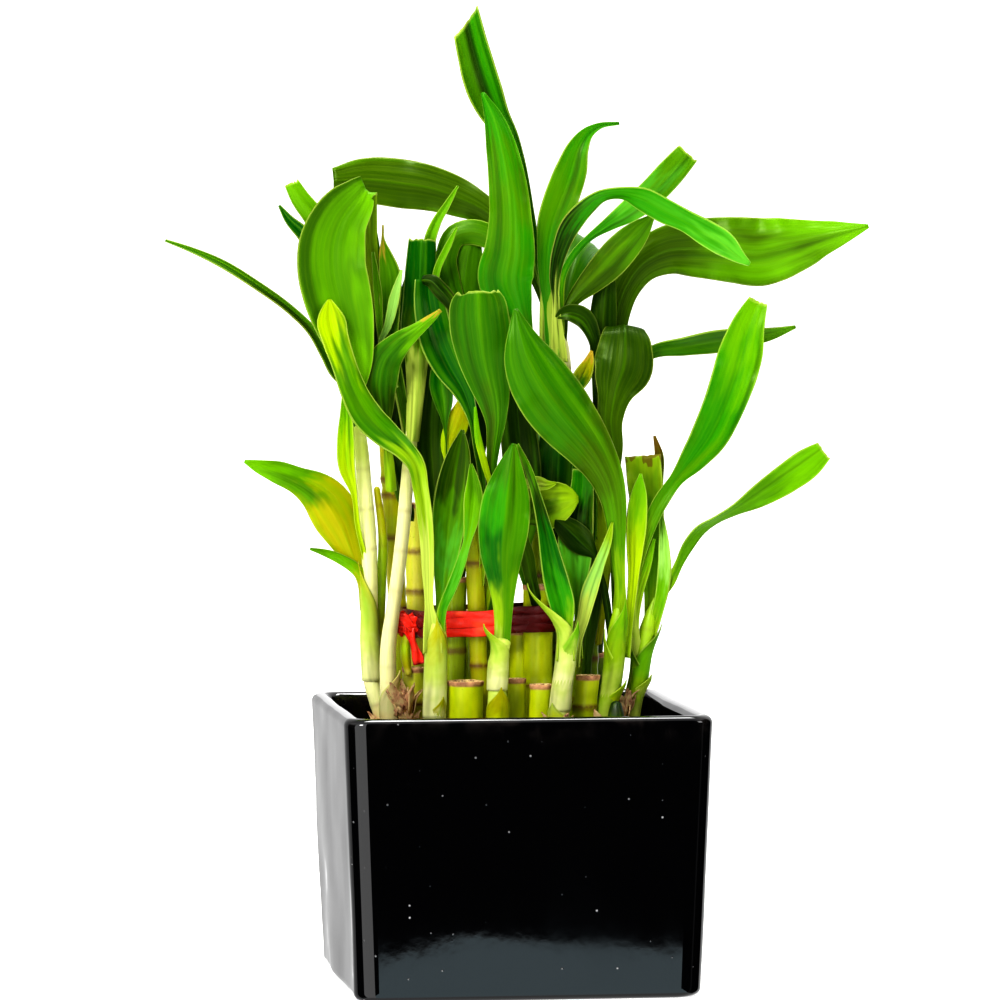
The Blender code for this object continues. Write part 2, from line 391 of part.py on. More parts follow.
def blade_rows(points, fold, slant):
    """Rows of points across a leaf; each row lies square to the leaf's own run."""
    centres = np.array([p[:3] for p in points], dtype=float)
    run = np.gradient(centres, axis=0)
    run /= np.linalg.norm(run, axis=1)[:, None]
    away = np.array([0.0, 1.0, 0.0])
    shares = np.linspace(-1.0, 1.0, LEAF_COLUMNS + 1)
    side = None
    rows = []
    for (_, _, _, half, tilt), centre, along in zip(points, centres, run):
        level = np.cross(away, along)
        strength = np.linalg.norm(level)
        pull = min(1.0, strength * LEVEL_PULL)
        if side is None:
            side = level / strength
        carried = side - along * np.dot(side, along)
        carried /= np.linalg.norm(carried)
        level = level if np.dot(level, carried) > 0 else -level
        side = carried * (1 - pull) + level * pull
        side /= np.linalg.norm(side)
        face = np.cross(along, side)
        slope = math.tan(math.radians(tilt))
        end_slant = slant if len(rows) == len(points) - 1 else 0.0
        row = []
        for share in shares:
            lift = half * (share * slope + fold * (abs(share) ** FOLD_POWER - FOLD_BASE))
            row.append(centre + side * half * share + face * lift + along * half * end_slant * share)
        rows.append(row)
    return rows


def build_leaf(name, spec, collection, material):
    rows = blade_rows(spec["points"], spec["fold"], spec.get("slant", 0.0))
    bm = bmesh.new()
    grid = [[bm.verts.new(plant_point(*spot)) for spot in row] for row in rows]
    for low, high in zip(grid, grid[1:]):
        for i in range(LEAF_COLUMNS):
            bm.faces.new((low[i], low[i + 1], high[i + 1], high[i]))
    mesh = bpy.data.meshes.new(name)
    bm.to_mesh(mesh)
    bm.free()
    leaf = add_object(name, mesh, collection, material)
    skin = leaf.modifiers.new("thickness", "SOLIDIFY")
    skin.thickness = LEAF_THICK * MM
    skin.offset = 0.0
    return leaf


def build_ribbon(collection, material):
    centres = [Vector(p) for p in RIBBON_LOOP]
    bm = bmesh.new()
    half = RIBBON_HEIGHT / 2
    lower = [bm.verts.new(plant_point(p.x, p.y, p.z - half)) for p in centres]
    upper = [bm.verts.new(plant_point(p.x, p.y, p.z + half)) for p in centres]
    count = len(centres)
    for i in range(count):
        j = (i + 1) % count
        bm.faces.new((lower[i], lower[j], upper[j], upper[i]))
    mesh = bpy.data.meshes.new("ribbon_band")
    bm.to_mesh(mesh)
    bm.free()
    band = add_object("ribbon_band", mesh, collection, material)
    skin = band.modifiers.new("thickness", "SOLIDIFY")
    skin.thickness = RIBBON_THICK * MM
    skin.offset = 0.0
    return band


def build_knot(collection, cutters, material):
    bm = bmesh.new()
    bmesh.ops.create_icosphere(bm, subdivisions=2, radius=1.0)
    for vert in bm.verts:
        ripple = 1.0 + KNOT_RIPPLE * math.sin(7 * vert.co.x) * math.cos(6 * vert.co.z)
        spot = [c + s * v * ripple for c, s, v in zip(KNOT_CENTRE, KNOT_SIZE, vert.co)]
        vert.co = plant_point(*spot)
    mesh = bpy.data.meshes.new("ribbon_knot")
    bm.to_mesh(mesh)
    bm.free()
    knot = add_object("ribbon_knot", mesh, collection, material)
    strip = bmesh.new()
    w, t = TAIL_HALF_WIDTH, TAIL_HALF_THICK
    rows = []
    for across, depth, height in TAIL_POINTS:
        rows.append([strip.verts.new(plant_point(across + dx, depth + dy, height))
                     for dx, dy in ((-w, -t), (w, -t), (w, t), (-w, t))])
    for low, high in zip(rows, rows[1:]):
        for i in range(4):
            strip.faces.new((low[i], low[(i + 1) % 4], high[(i + 1) % 4], high[i]))
    strip.faces.new(rows[0])
    strip.faces.new(rows[-1])
    bmesh.ops.recalc_face_normals(strip, faces=strip.faces)
    tail_mesh = bpy.data.meshes.new("ribbon_tail")
    strip.to_mesh(tail_mesh)
    strip.free()
    tail = bpy.data.objects.new("ribbon_tail", tail_mesh)
    cutters.objects.link(tail)
    tail.hide_render = True
    tail.display_type = "WIRE"
    join = knot.modifiers.new("tail", "BOOLEAN")
    join.operation = "UNION"
    join.solver = "EXACT"
    join.object = tail
    return knot


def main():
    clear_scene()
    collection = bpy.data.collections.new("lucky_bamboo")
    cutters = bpy.data.collections.new("cutters")
    bpy.context.scene.collection.children.link(collection)
    bpy.context.scene.collection.children.link(cutters)
    build_pot(collection, cutters)
    build_bed(collection, cutters)
    red = (0.75, 0.03, 0.02)
    build_ribbon(collection, make_material("ribbon_band_satin", red, 0.35))
    build_knot(collection, cutters, make_material("ribbon_knot_satin", red, 0.35))
    for name, foot in STALKS.items():
        skin = make_material(name + "_skin", (0.36, 0.52, 0.04), 0.4)
        tube(name, stalk_points(foot), STALK_SIDES, collection, skin)
    for name, path in SHOOTS.items():
        skin = make_material(name + "_skin", (0.62, 0.72, 0.28), 0.4)
        tube(name, path, SHOOT_SIDES, collection, skin)
    for name, spec in LEAVES.items():
        skin = make_material(name + "_skin", (0.10, 0.38, 0.01), 0.35)
        build_leaf(name, spec, collection, skin)


main()
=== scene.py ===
import math
import random

import bmesh
import bpy
import numpy as np
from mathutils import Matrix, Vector, noise


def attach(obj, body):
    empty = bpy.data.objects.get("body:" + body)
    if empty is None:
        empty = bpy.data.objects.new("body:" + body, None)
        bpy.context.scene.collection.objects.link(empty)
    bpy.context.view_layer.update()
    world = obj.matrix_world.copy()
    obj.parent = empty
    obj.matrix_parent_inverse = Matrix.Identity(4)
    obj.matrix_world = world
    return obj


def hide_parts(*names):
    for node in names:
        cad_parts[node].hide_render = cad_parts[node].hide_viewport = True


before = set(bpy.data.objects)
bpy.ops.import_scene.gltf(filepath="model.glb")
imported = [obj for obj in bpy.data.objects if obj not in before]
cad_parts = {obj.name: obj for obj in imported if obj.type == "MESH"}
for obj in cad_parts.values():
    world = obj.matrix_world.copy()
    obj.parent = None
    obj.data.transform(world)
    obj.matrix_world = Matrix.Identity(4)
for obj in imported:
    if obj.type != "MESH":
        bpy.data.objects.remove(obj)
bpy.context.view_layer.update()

print("packed frame loaded:", len(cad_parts), "nodes")

millimetre = 0.001
plantTurn = math.radians(-7.7)  # the planting is turned a little in its pot


# camera first
cameraSet = {
    "turn": 7.65,           # degrees to the left of the pot's front
    "dip": 2.48,            # degrees down
    "away": 1.578,          # metres from the aim
    "aimHeight": 0.130,
    "slide": -0.0020,       # aim moved along the view's own right and up
    "rise": 0.0053,
    "lens": 202.0,
    "sensor": 36.0,
}


def addCamera(plan):
    turn = math.radians(plan["turn"])
    dip = math.radians(plan["dip"])
    ahead = Vector((math.sin(turn) * math.cos(dip), math.cos(turn) * math.cos(dip), -math.sin(dip)))
    right = Vector((math.cos(turn), -math.sin(turn), 0.0))
    up = right.cross(ahead)
    aim = Vector((0.0, 0.0, plan["aimHeight"])) + right * plan["slide"] + up * plan["rise"]
    lensData = bpy.data.cameras.new("studioCamera")
    lensData.lens = plan["lens"]
    lensData.sensor_width = plan["sensor"]
    lensData.clip_start = 0.05
    lensData.clip_end = 50.0
    camera = bpy.data.objects.new("studioCamera", lensData)
    camera.location = aim - ahead * plan["away"]
    camera.rotation_euler = ahead.to_track_quat("-Z", "Y").to_euler()
    bpy.context.scene.collection.objects.link(camera)
    bpy.context.scene.camera = camera


addCamera(cameraSet)
print("camera placed")


# small helpers for shader nodes
def tint(red, green, blue):
    # everyday 0-255 values to what a shader takes
    def straight(value):
        value = value / 255
        return value / 12.92 if value <= 0.04045 else ((value + 0.055) / 1.055) ** 2.4
    return (straight(red), straight(green), straight(blue), 1.0)


def feed(tree, socket, value):
    if isinstance(value, bpy.types.NodeSocket):
        tree.links.new(value, socket)
    else:
        socket.default_value = value


def addNode(tree, kind, values=None, **settings):
    made = tree.nodes.new(kind)
    for key, value in settings.items():
        setattr(made, key, value)
    for socket, value in (values or {}).items():
        feed(tree, made.inputs[socket], value)
    return made


def sums(tree, operation, first, second=0.0, clamp=False):
    return addNode(tree, "ShaderNodeMath", {0: first, 1: second}, operation=operation,
                   use_clamp=clamp).outputs[0]


def times(tree, first, second, clamp=False):
    return sums(tree, "MULTIPLY", first, second, clamp)


def plus(tree, first, second):
    return sums(tree, "ADD", first, second)


def minus(tree, first, second):
    return sums(tree, "SUBTRACT", first, second)


def fade(tree, value, start, end, low=0.0, high=1.0):
    # value taken smoothly from low at start to high at end
    spread = addNode(tree, "ShaderNodeMapRange", {"Value": value, "From Min": start, "From Max": end,
                                                  "To Min": low, "To Max": high})
    spread.interpolation_type = "SMOOTHSTEP"
    return spread.outputs["Result"]


def blendTint(tree, share, first, second):
    mix = addNode(tree, "ShaderNodeMix", data_type="RGBA", clamp_factor=True)
    feed(tree, mix.inputs[0], share)
    feed(tree, mix.inputs[6], first)
    feed(tree, mix.inputs[7], second)
    return mix.outputs[2]


def rampTint(tree, value, stops):
    ramp = addNode(tree, "ShaderNodeValToRGB", {"Fac": value})
    bar = ramp.color_ramp
    bar.interpolation = "EASE"
    while len(bar.elements) < len(stops):
        bar.elements.new(0.5)
    for element, (place, colour) in zip(bar.elements, stops):
        element.position = place
        element.color = colour
    return ramp.outputs["Color"]


def grainOf(tree, vector, scale, detail=3.0, rough=0.55):
    return addNode(tree, "ShaderNodeTexNoise", {"Vector": vector, "Scale": scale, "Detail": detail,
                                                "Roughness": rough}).outputs["Fac"]


def readTone(tree, name):
    return addNode(tree, "ShaderNodeAttribute", attribute_name=name).outputs["Fac"]


def joinVector(tree, x, y, z=0.0):
    return addNode(tree, "ShaderNodeCombineXYZ", {0: x, 1: y, 2: z}).outputs[0]


def ownCoordinates(tree, stretch=(1.0, 1.0, 1.0)):
    place = addNode(tree, "ShaderNodeTexCoord").outputs["Object"]
    return addNode(tree, "ShaderNodeVectorMath", {0: place, 1: stretch}, operation="MULTIPLY").outputs[0]


def bumpOf(tree, height, distance, strength=1.0, normal=None):
    bump = addNode(tree, "ShaderNodeBump", {"Height": height, "Distance": distance, "Strength": strength})
    if normal is not None:
        tree.links.new(normal, bump.inputs["Normal"])
    return bump.outputs["Normal"]


def newFinish(name):
    finish = bpy.data.materials.new(name)
    finish.use_nodes = True
    return finish, finish.node_tree, finish.node_tree.nodes["Principled BSDF"]


def softTissue(skin, weight, radius):
    skin.inputs["Subsurface Weight"].default_value = weight
    skin.inputs["Subsurface Radius"].default_value = radius
    skin.inputs["Subsurface Scale"].default_value = 0.002


def glowThrough(tree, skin, colour, share):
    # thin tissue lets some light through
    glow = addNode(tree, "ShaderNodeBsdfTranslucent")
    feed(tree, glow.inputs["Color"], colour)
    both = addNode(tree, "ShaderNodeMixShader", {0: share, 1: skin.outputs[0], 2: glow.outputs[0]})
    tree.links.new(both.outputs[0], tree.nodes["Material Output"].inputs["Surface"])


# small helpers for meshes
def toWorld(points):
    # millimetres across, away and up in the planting, to metres in the pot's own axes
    points = np.asarray(points, dtype=float)
    c, s = math.cos(plantTurn), math.sin(plantTurn)
    turned = np.empty_like(points)
    turned[..., 0] = points[..., 0] * c - points[..., 1] * s
    turned[..., 1] = points[..., 0] * s + points[..., 1] * c
    turned[..., 2] = points[..., 2]
    return turned * millimetre


def smoothRows(stations, count):
    # a smooth run of rows through given stations, evenly spaced along their length
    rows = np.array(stations, dtype=float)
    gaps = np.linalg.norm(np.diff(rows[:, :3], axis=0), axis=1)
    at = np.concatenate([[0.0], np.cumsum(gaps)])
    slopes = np.gradient(rows, at, axis=0)
    spots = np.linspace(0.0, at[-1], count)
    k = np.clip(np.searchsorted(at, spots, side="right") - 1, 0, len(gaps) - 1)
    gap = gaps[k][:, None]
    u = (spots - at[k])[:, None] / gap
    run = (2 * u ** 3 - 3 * u ** 2 + 1) * rows[k] + (u ** 3 - 2 * u ** 2 + u) * gap * slopes[k]
    run += (3 * u ** 2 - 2 * u ** 3) * rows[k + 1] + (u ** 3 - u ** 2) * gap * slopes[k + 1]
    return run, spots / at[-1], at[-1]


def directions(centres):
    run = np.gradient(centres, axis=0)
    return run / np.linalg.norm(run, axis=1)[:, None]


def smoothstep(low, high, value):
    t = np.clip((value - low) / (high - low), 0.0, 1.0)     # low may be the larger
    return t * t * (3 - 2 * t)


def meshFrom(name, bm):
    mesh = bpy.data.meshes.new(name)
    bm.to_mesh(mesh)
    bm.free()
    mesh.shade_smooth()
    return mesh


def loftMesh(name, rows, tones, closed=False, capStart=False, capEnd=False):
    # rows of points skinned with quads; every tone is kept as an attribute for the finish
    bm = bmesh.new()
    layers = {key: bm.verts.layers.float.new(key) for key in tones}
    grid = []
    for i, row in enumerate(rows):
        made = [bm.verts.new(point) for point in row]
        for key, layer in layers.items():
            for j, vert in enumerate(made):
                vert[layer] = float(tones[key][i][j])
        grid.append(made)
    width = len(grid[0])
    for low, high in zip(grid, grid[1:]):
        for j in range(width if closed else width - 1):
            k = (j + 1) % width
            bm.faces.new((low[j], low[k], high[k], high[j]))
    for wanted, ring in ((capStart, grid[0]), (capEnd, grid[-1])):
        if wanted:
            centre = bm.verts.new(sum((v.co for v in ring), Vector()) / width)
            for layer in layers.values():
                centre[layer] = ring[0][layer]
            for j in range(width):
                bm.faces.new((ring[j], ring[(j + 1) % width], centre))
    if closed:
        bmesh.ops.recalc_face_normals(bm, faces=bm.faces)
    return meshFrom(name, bm)


def bladeMesh(name, rows, along, across):
    # an open sheet in the planting's millimetres
    return loftMesh(name, toWorld(np.array(rows)), {"along": along, "across": across})


def keepPiece(name, mesh, finishes, node=None):
    piece = bpy.data.objects.new(name, mesh)
    bpy.context.scene.collection.objects.link(piece)
    for finish in finishes:
        mesh.materials.append(finish)
    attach(piece, "root")
    if node:
        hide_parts(node)
    return piece


def thicken(piece, thick):
    skin = piece.modifiers.new("thickness", "SOLIDIFY")
    skin.thickness = thick * millimetre
    skin.offset = 0.0
    return skin


def pieceName(node):
    words = node.split("_")
    return words[0] + "".join(word.capitalize() for word in words[1:])


# square glazed pot
potPlan = {
    "height": 78.0, "top": 102.0, "bottom": 96.0, "wall": 5.2, "floor": 6.0,
    "corner": 6.0, "innerCorner": 3.4, "foot": 2.4, "rim": 2.2,
    "footHollow": 0.8,      # the underside is raised a little inside its edge
    "waver": 0.42,          # hand-made unevenness of the walls
    "frontWaver": 0.03,     # share of it that the flatter front keeps
    "glaze": (3, 3, 4), "thinGlaze": (40, 36, 34), "speck": (225, 225, 225),
    "gloss": 0.014, "dust": 0.34,
}


def squareRing(half, corner, steps=8, flats=14):
    # a rounded square, corner by corner, starting at the front left
    corner = min(corner, half * 0.98)
    ring = []

    def cornerCentre(angle):
        return [(half - corner) * (1 if way(angle + math.pi / 4) > 0 else -1) for way in (math.cos, math.sin)]

    for quarter in range(4):
        start = math.radians(180 + 90 * quarter)
        cx, cy = cornerCentre(start)
        for k in range(steps + 1):
            angle = start + math.pi / 2 * k / steps
            ring.append((cx + corner * math.cos(angle), cy + corner * math.sin(angle)))
        after = start + math.pi / 2
        nx, ny = cornerCentre(after)
        last = ring[-1]
        goal = (nx + corner * math.cos(after), ny + corner * math.sin(after))
        for share in (0.006, *(k / flats for k in range(1, flats)), 0.994):
            ring.append((last[0] + (goal[0] - last[0]) * share, last[1] + (goal[1] - last[1]) * share))
    return ring


def potProfile(plan):
    # (inset from the outer side, height, corner radius, closeness to the rim)
    h, wall, floor, foot, rim = (plan[k] for k in ("height", "wall", "floor", "foot", "rim"))
    half = plan["bottom"] / 2
    outer, inner = plan["corner"], plan["innerCorner"]
    hollow = plan["footHollow"]
    for inset in np.linspace(half * 0.97, foot + 4.0, 6):
        yield inset, hollow, outer, 0.0
    yield foot + 2.4, hollow * 0.6, outer, 0.0
    yield foot + 1.2, 0.0, outer, 0.0
    for k in range(7):
        angle = math.pi / 2 * k / 6
        yield foot * (1 - math.sin(angle)), foot * (1 - math.cos(angle)), outer, 0.0
    for z in (foot + 0.4, *np.linspace(foot + 3.0, h - rim - 2.0, 22), h - rim - 0.4):
        yield 0.0, z, outer, smoothstep(h - 9.0, h, z) * 0.4
    for k in range(7):
        angle = math.pi / 2 * k / 6
        yield rim * (1 - math.cos(angle)), h - rim + rim * math.sin(angle), outer, 0.4 + 0.6 * k / 6
    for k in range(1, 8):
        angle = math.pi / 2 * k / 7
        yield wall - rim * (1 - math.sin(angle)), h - rim + rim * math.cos(angle), inner, 1.0 - 0.6 * k / 7
    for z in np.linspace(h - rim - 2.0, floor + 4.0, 14):
        yield wall, z, inner, 0.0
    for k in range(6):
        angle = math.pi / 2 * k / 5
        yield wall + 3.0 * (1 - math.cos(angle)), floor + 3.0 * (1 - math.sin(angle)), inner, 0.0
    for inset in np.linspace(wall + 8.0, half * 0.97, 5):
        yield inset, floor, inner, 0.0


def buildPot(plan):
    rows, rims, waves = [], [], []
    for inset, z, corner, rimTone in potProfile(plan):
        half = (plan["bottom"] + (plan["top"] - plan["bottom"]) * z / plan["height"]) / 2 - inset
        flat = z < plan["footHollow"] * 1.01
        row = []
        for x, y in squareRing(half, corner):
            spot = Vector((x, y, z))
            if not flat:
                push = noise.noise(spot * 0.035 + Vector((7.0, 3.0, 1.0))) * 2.0
                push += noise.noise(spot * 0.11) * 0.5
                frontness = float(smoothstep(-0.80, -0.94, y / half))
                calm = 1 - (1 - plan["frontWaver"]) * frontness
                spot += Vector((x, y, 0)).normalized() * push * plan["waver"] * calm
            row.append(spot * millimetre)
        rows.append(row)
        rims.append([rimTone] * len(row))
    mesh = loftMesh("pot", rows, {"rim": rims}, closed=True, capStart=True, capEnd=True)
    return keepPiece("squarePot", mesh, [glazeFinish(plan)], "pot")


def glazeFinish(plan):
    finish, tree, skin = newFinish("blackGlaze")
    place = ownCoordinates(tree)
    cloudy = grainOf(tree, place, 38.0, 4.0)
    rim = readTone(tree, "rim")
    thin = times(tree, rim, fade(tree, grainOf(tree, place, 160.0), 0.45, 0.75), clamp=True)
    colour = blendTint(tree, thin, tint(*plan["glaze"]), tint(*plan["thinGlaze"]))
    # sparse dust specks and pinholes: only some cells of the pattern carry one
    cells = addNode(tree, "ShaderNodeTexVoronoi", {"Vector": place, "Scale": 330.0, "Randomness": 1.0})
    lucky = fade(tree, addNode(tree, "ShaderNodeSeparateColor", {0: cells.outputs["Color"]}).outputs[0],
                 0.78, 0.95)
    dot = fade(tree, cells.outputs["Distance"], 0.13, 0.05)
    patchy = fade(tree, grainOf(tree, place, 22.0, 2.0), 0.30, 0.55)
    specks = times(tree, times(tree, dot, lucky), patchy, clamp=True)
    colour = blendTint(tree, times(tree, specks, plan["dust"]), colour, tint(*plan["speck"]))
    feed(tree, skin.inputs["Base Color"], colour)
    smears = fade(tree, grainOf(tree, ownCoordinates(tree, (1.0, 1.0, 0.4)), 55.0, 5.0), 0.35, 0.75,
                  plan["gloss"], plan["gloss"] * 2.4)
    feed(tree, skin.inputs["Roughness"], plus(tree, smears, times(tree, specks, 0.4)))
    skin.inputs["IOR"].default_value = 1.5
    ripple = bumpOf(tree, cloudy, 0.0001, 0.08)
    fine = bumpOf(tree, grainOf(tree, place, 260.0, 3.0), 0.00001, 0.12, ripple)
    feed(tree, skin.inputs["Normal"], bumpOf(tree, specks, 0.00012, 0.7, fine))
    return finish


# gravel
gravelPlan = {
    "bedTop": 59.2, "bedFoot": 8.3, "halfTop": 44.8, "halfFoot": 42.6, "corner": 2.6,
    "pebbles": 300, "small": 1.7, "large": 4.2, "crown": 1.6,
    "tones": [(112, 92, 70), (74, 62, 50), (150, 132, 108), (52, 46, 42)], "damp": (38, 30, 24),
}


def mound(plan, x, y):
    # the gravel lies a little higher in the middle
    spread = (x * x + y * y) / plan["halfTop"] ** 2
    return plan["bedTop"] + plan["crown"] * (1 - spread) + noise.noise(Vector((x, y, 0)) * 0.12) * 0.8


def buildGravel(plan):
    rows = []
    for z, half in ((plan["bedFoot"], plan["halfFoot"]), (30.0, plan["halfFoot"] + 1.0)):
        rows.append([(x * millimetre, y * millimetre, z * millimetre)
                     for x, y in squareRing(half, plan["corner"])])
    for share in (1.0, 0.9, 0.75, 0.6, 0.45, 0.3, 0.15, 0.04):
        rows.append([(x * share * millimetre, y * share * millimetre,
                      mound(plan, x * share, y * share) * millimetre)
                     for x, y in squareRing(plan["halfTop"], plan["corner"])])
    stones = [[0.3] * len(row) for row in rows]
    bed = loftMesh("gravelBed", rows, {"stone": stones}, closed=True, capStart=True, capEnd=True)
    bm = bmesh.new()
    bm.from_mesh(bed)
    layer = bm.verts.layers.float["stone"]
    dice = random.Random(11)
    for _ in range(plan["pebbles"]):
        size = plan["small"] + (plan["large"] - plan["small"]) * dice.random() ** 2
        reach = plan["halfTop"] - size * 0.9
        x, y = dice.uniform(-reach, reach), dice.uniform(-reach, reach)
        z = mound(plan, x, y) + size * dice.uniform(-0.15, 0.35)
        made = bmesh.ops.create_icosphere(bm, subdivisions=3, radius=1.0)["verts"]
        squeeze = Vector((dice.uniform(0.75, 1.2), dice.uniform(0.75, 1.1), dice.uniform(0.5, 0.8)))
        spin = dice.uniform(0, math.tau)
        own = Vector((dice.uniform(0, 50), dice.uniform(0, 50), dice.uniform(0, 50)))
        shadeOf = dice.random()
        for vert in made:
            lumps = 1.0 + 0.22 * noise.noise(vert.co * 1.3 + own) + 0.05 * noise.noise(vert.co * 4.0 + own)
            p = Vector((vert.co.x * squeeze.x, vert.co.y * squeeze.y, vert.co.z * squeeze.z)) * lumps * size
            p = Vector((p.x * math.cos(spin) - p.y * math.sin(spin),
                        p.x * math.sin(spin) + p.y * math.cos(spin), p.z))
            vert.co = (p + Vector((x, y, z))) * millimetre
            vert[layer] = shadeOf
    bm.to_mesh(bed)
    bm.free()
    bed.shade_smooth()
    return keepPiece("gravelBed", bed, [gravelFinish(plan)], "gravel_bed")


def gravelFinish(plan):
    finish, tree, skin = newFinish("dampGravel")
    place = ownCoordinates(tree)
    stone = readTone(tree, "stone")
    stops = [(k / 3, tint(*colour)) for k, colour in enumerate(plan["tones"])]
    colour = rampTint(tree, stone, stops)
    mottle = grainOf(tree, place, 500.0, 5.0, 0.7)
    colour = blendTint(tree, fade(tree, mottle, 0.35, 0.7, 0.0, 0.75), colour, tint(*plan["damp"]))
    feed(tree, skin.inputs["Base Color"], colour)
    feed(tree, skin.inputs["Roughness"], fade(tree, mottle, 0.3, 0.7, 0.5, 0.9))
    feed(tree, skin.inputs["Normal"], bumpOf(tree, grainOf(tree, place, 1400.0, 4.0), 0.00025, 0.5))
    return finish


buildPot(potPlan)
buildGravel(gravelPlan)
print("pot and gravel built")


# colours of the plant, as everyday values; dusk, the darkest green, stands mostly for painted shade, the jade
# tone is a painted highlight, and the mint tone is a pale leaf colour on some leaves and a painted highlight
# on others
greens = {
    "cream": (226, 226, 160), "milk": (212, 206, 150), "stem": (190, 206, 92), "reed": (144, 178, 20),
    "cane": (204, 212, 2), "caneDeep": (140, 160, 0), "amber": (196, 190, 66),
    "lime": (172, 200, 0), "spring": (108, 170, 0), "leaf": (78, 132, 0), "grass": (50, 110, 0),
    "deep": (2, 92, 8), "dusk": (16, 44, 0), "olive": (66, 98, 0), "moss": (38, 68, 0),
    "emerald": (46, 138, 4), "jade": (92, 172, 44),
    "gold": (172, 166, 0), "mint": (158, 208, 100), "straw": (196, 158, 60), "bark": (108, 62, 24),
    "blush": (206, 158, 118), "scar": (104, 62, 36), "paper": (222, 196, 140),
}


def green(name):
    return tint(*greens[name])


def wash(tree, colour, tone, value, start, end, low=0.0, high=1.0):
    # a tone laid over the colour as the value runs from start to end
    return blendTint(tree, fade(tree, value, start, end, low, high), colour, green(tone))


# cut stalks
# foot (across, away), radius, lean of the top, top height, heights of the joints
stalkPlans = {
    "stalk_front_wide": (-11.8, -22, 4.9, 0.2, 0, 86, (69,), "cane"),
    "stalk_front_thin": (2.6, -20, 2.5, 0.1, 0.2, 86.5, (72,), "cane"),
    "stalk_front_mid": (8.6, -24, 3.1, 0.8, 0.4, 85.2, (71,), "cane"),
    "stalk_front_right": (19.6, -17.5, 3.3, 3, 0.6, 87.2, (78.4,), "cane"),
    "stalk_left_bulb": (-25.6, 1, 3.3, -0.6, 0.3, 88, (78,), "amber"),
    "stalk_band_lean": (-6.6, -11, 2.5, -3.4, 1, 138, (89.5, 118), "gold"),
    "stalk_band_left": (-14.9, -8.3, 3, 0.6, 0, 114, (93.5,), "caneDeep"),
    "stalk_band_wide": (8.6, -10, 4.1, 0, 0.4, 112, (84,), "cane"),
    "stalk_right_olive": (22.9, -4, 2.4, 0.4, 0.2, 105.2, (91,), "olive"),
    "stalk_left_yellow": (-24, 10.8, 3.5, -1.6, -0.8, 134, (109, 120.5), "amber"),
    "stalk_left_ringed": (-28.6, 18, 2.6, -5.2, -3, 152, (104, 124, 136, 140.5), "gold"),
    "stalk_core": (-3, 2, 4.4, -0.6, 0, 126, (90, 108), "caneDeep"),
    "stalk_core_shoot": (10, 6, 4.2, 0.6, 0, 133, (92, 114), "caneDeep"),
    "stalk_back_left": (-13.6, 19.4, 4.6, -0.4, 0.6, 89, (74,), "cane"),
    "stalk_back_mid": (0.8, 23, 4.8, 0.2, 0.8, 86.5, (72,), "cane"),
    "stalk_back_right": (17.2, 18.4, 4.3, 0.8, 0.6, 91, (76,), "cane"),
}
# stalks that only show between the others
innerStalks = {
    "stalkInnerOne": (-9.6, 5.6, 3, 0, 0, 104, (80, 98), "caneDeep"),
    "stalkInnerTwo": (3.8, -3.8, 3.4, 0.2, 0, 99, (83,), "cane"),
    "stalkInnerThree": (17.4, 1.6, 3.6, 0, 0, 101, (79, 95), "caneDeep"),
    "stalkInnerFour": (-17.4, 2.4, 3.6, 0, 0, 99, (82,), "gold"),
    "stalkInnerFive": (24.4, 5.6, 3.6, 0, 0, 92, (77,), "olive"),
    "stalkInnerSix": (-3.8, 12.6, 4.2, 0, 0, 97, (84,), "caneDeep"),
    "stalkInnerSeven": (-20, -13.4, 2.6, -0.4, 0, 84, (71,), "amber"),
}
stalkHabit = {
    "foot": 22.6, "soil": 60.0, "sides": 36, "joint": 1.1, "swell": 0.09, "neck": 0.035,
    "band": 1.3,            # height of the dried band under a cut
    "flare": 0.05, "hollow": 0.7, "grain": 0.02,
}


def stalkRadius(z, top, radius, joints, habit):
    # swollen joints with a groove above and below each, and a flared dried band at the cut
    swell = 1.0
    for joint in joints:
        near = (z - joint) / habit["joint"]
        swell += habit["swell"] * math.exp(-near * near)
        swell -= habit["neck"] * math.exp(-((abs(near) - 2.2) ** 2))
    swell += habit["flare"] * float(smoothstep(top - habit["band"], top - habit["band"] + 0.5, z))
    return radius * swell


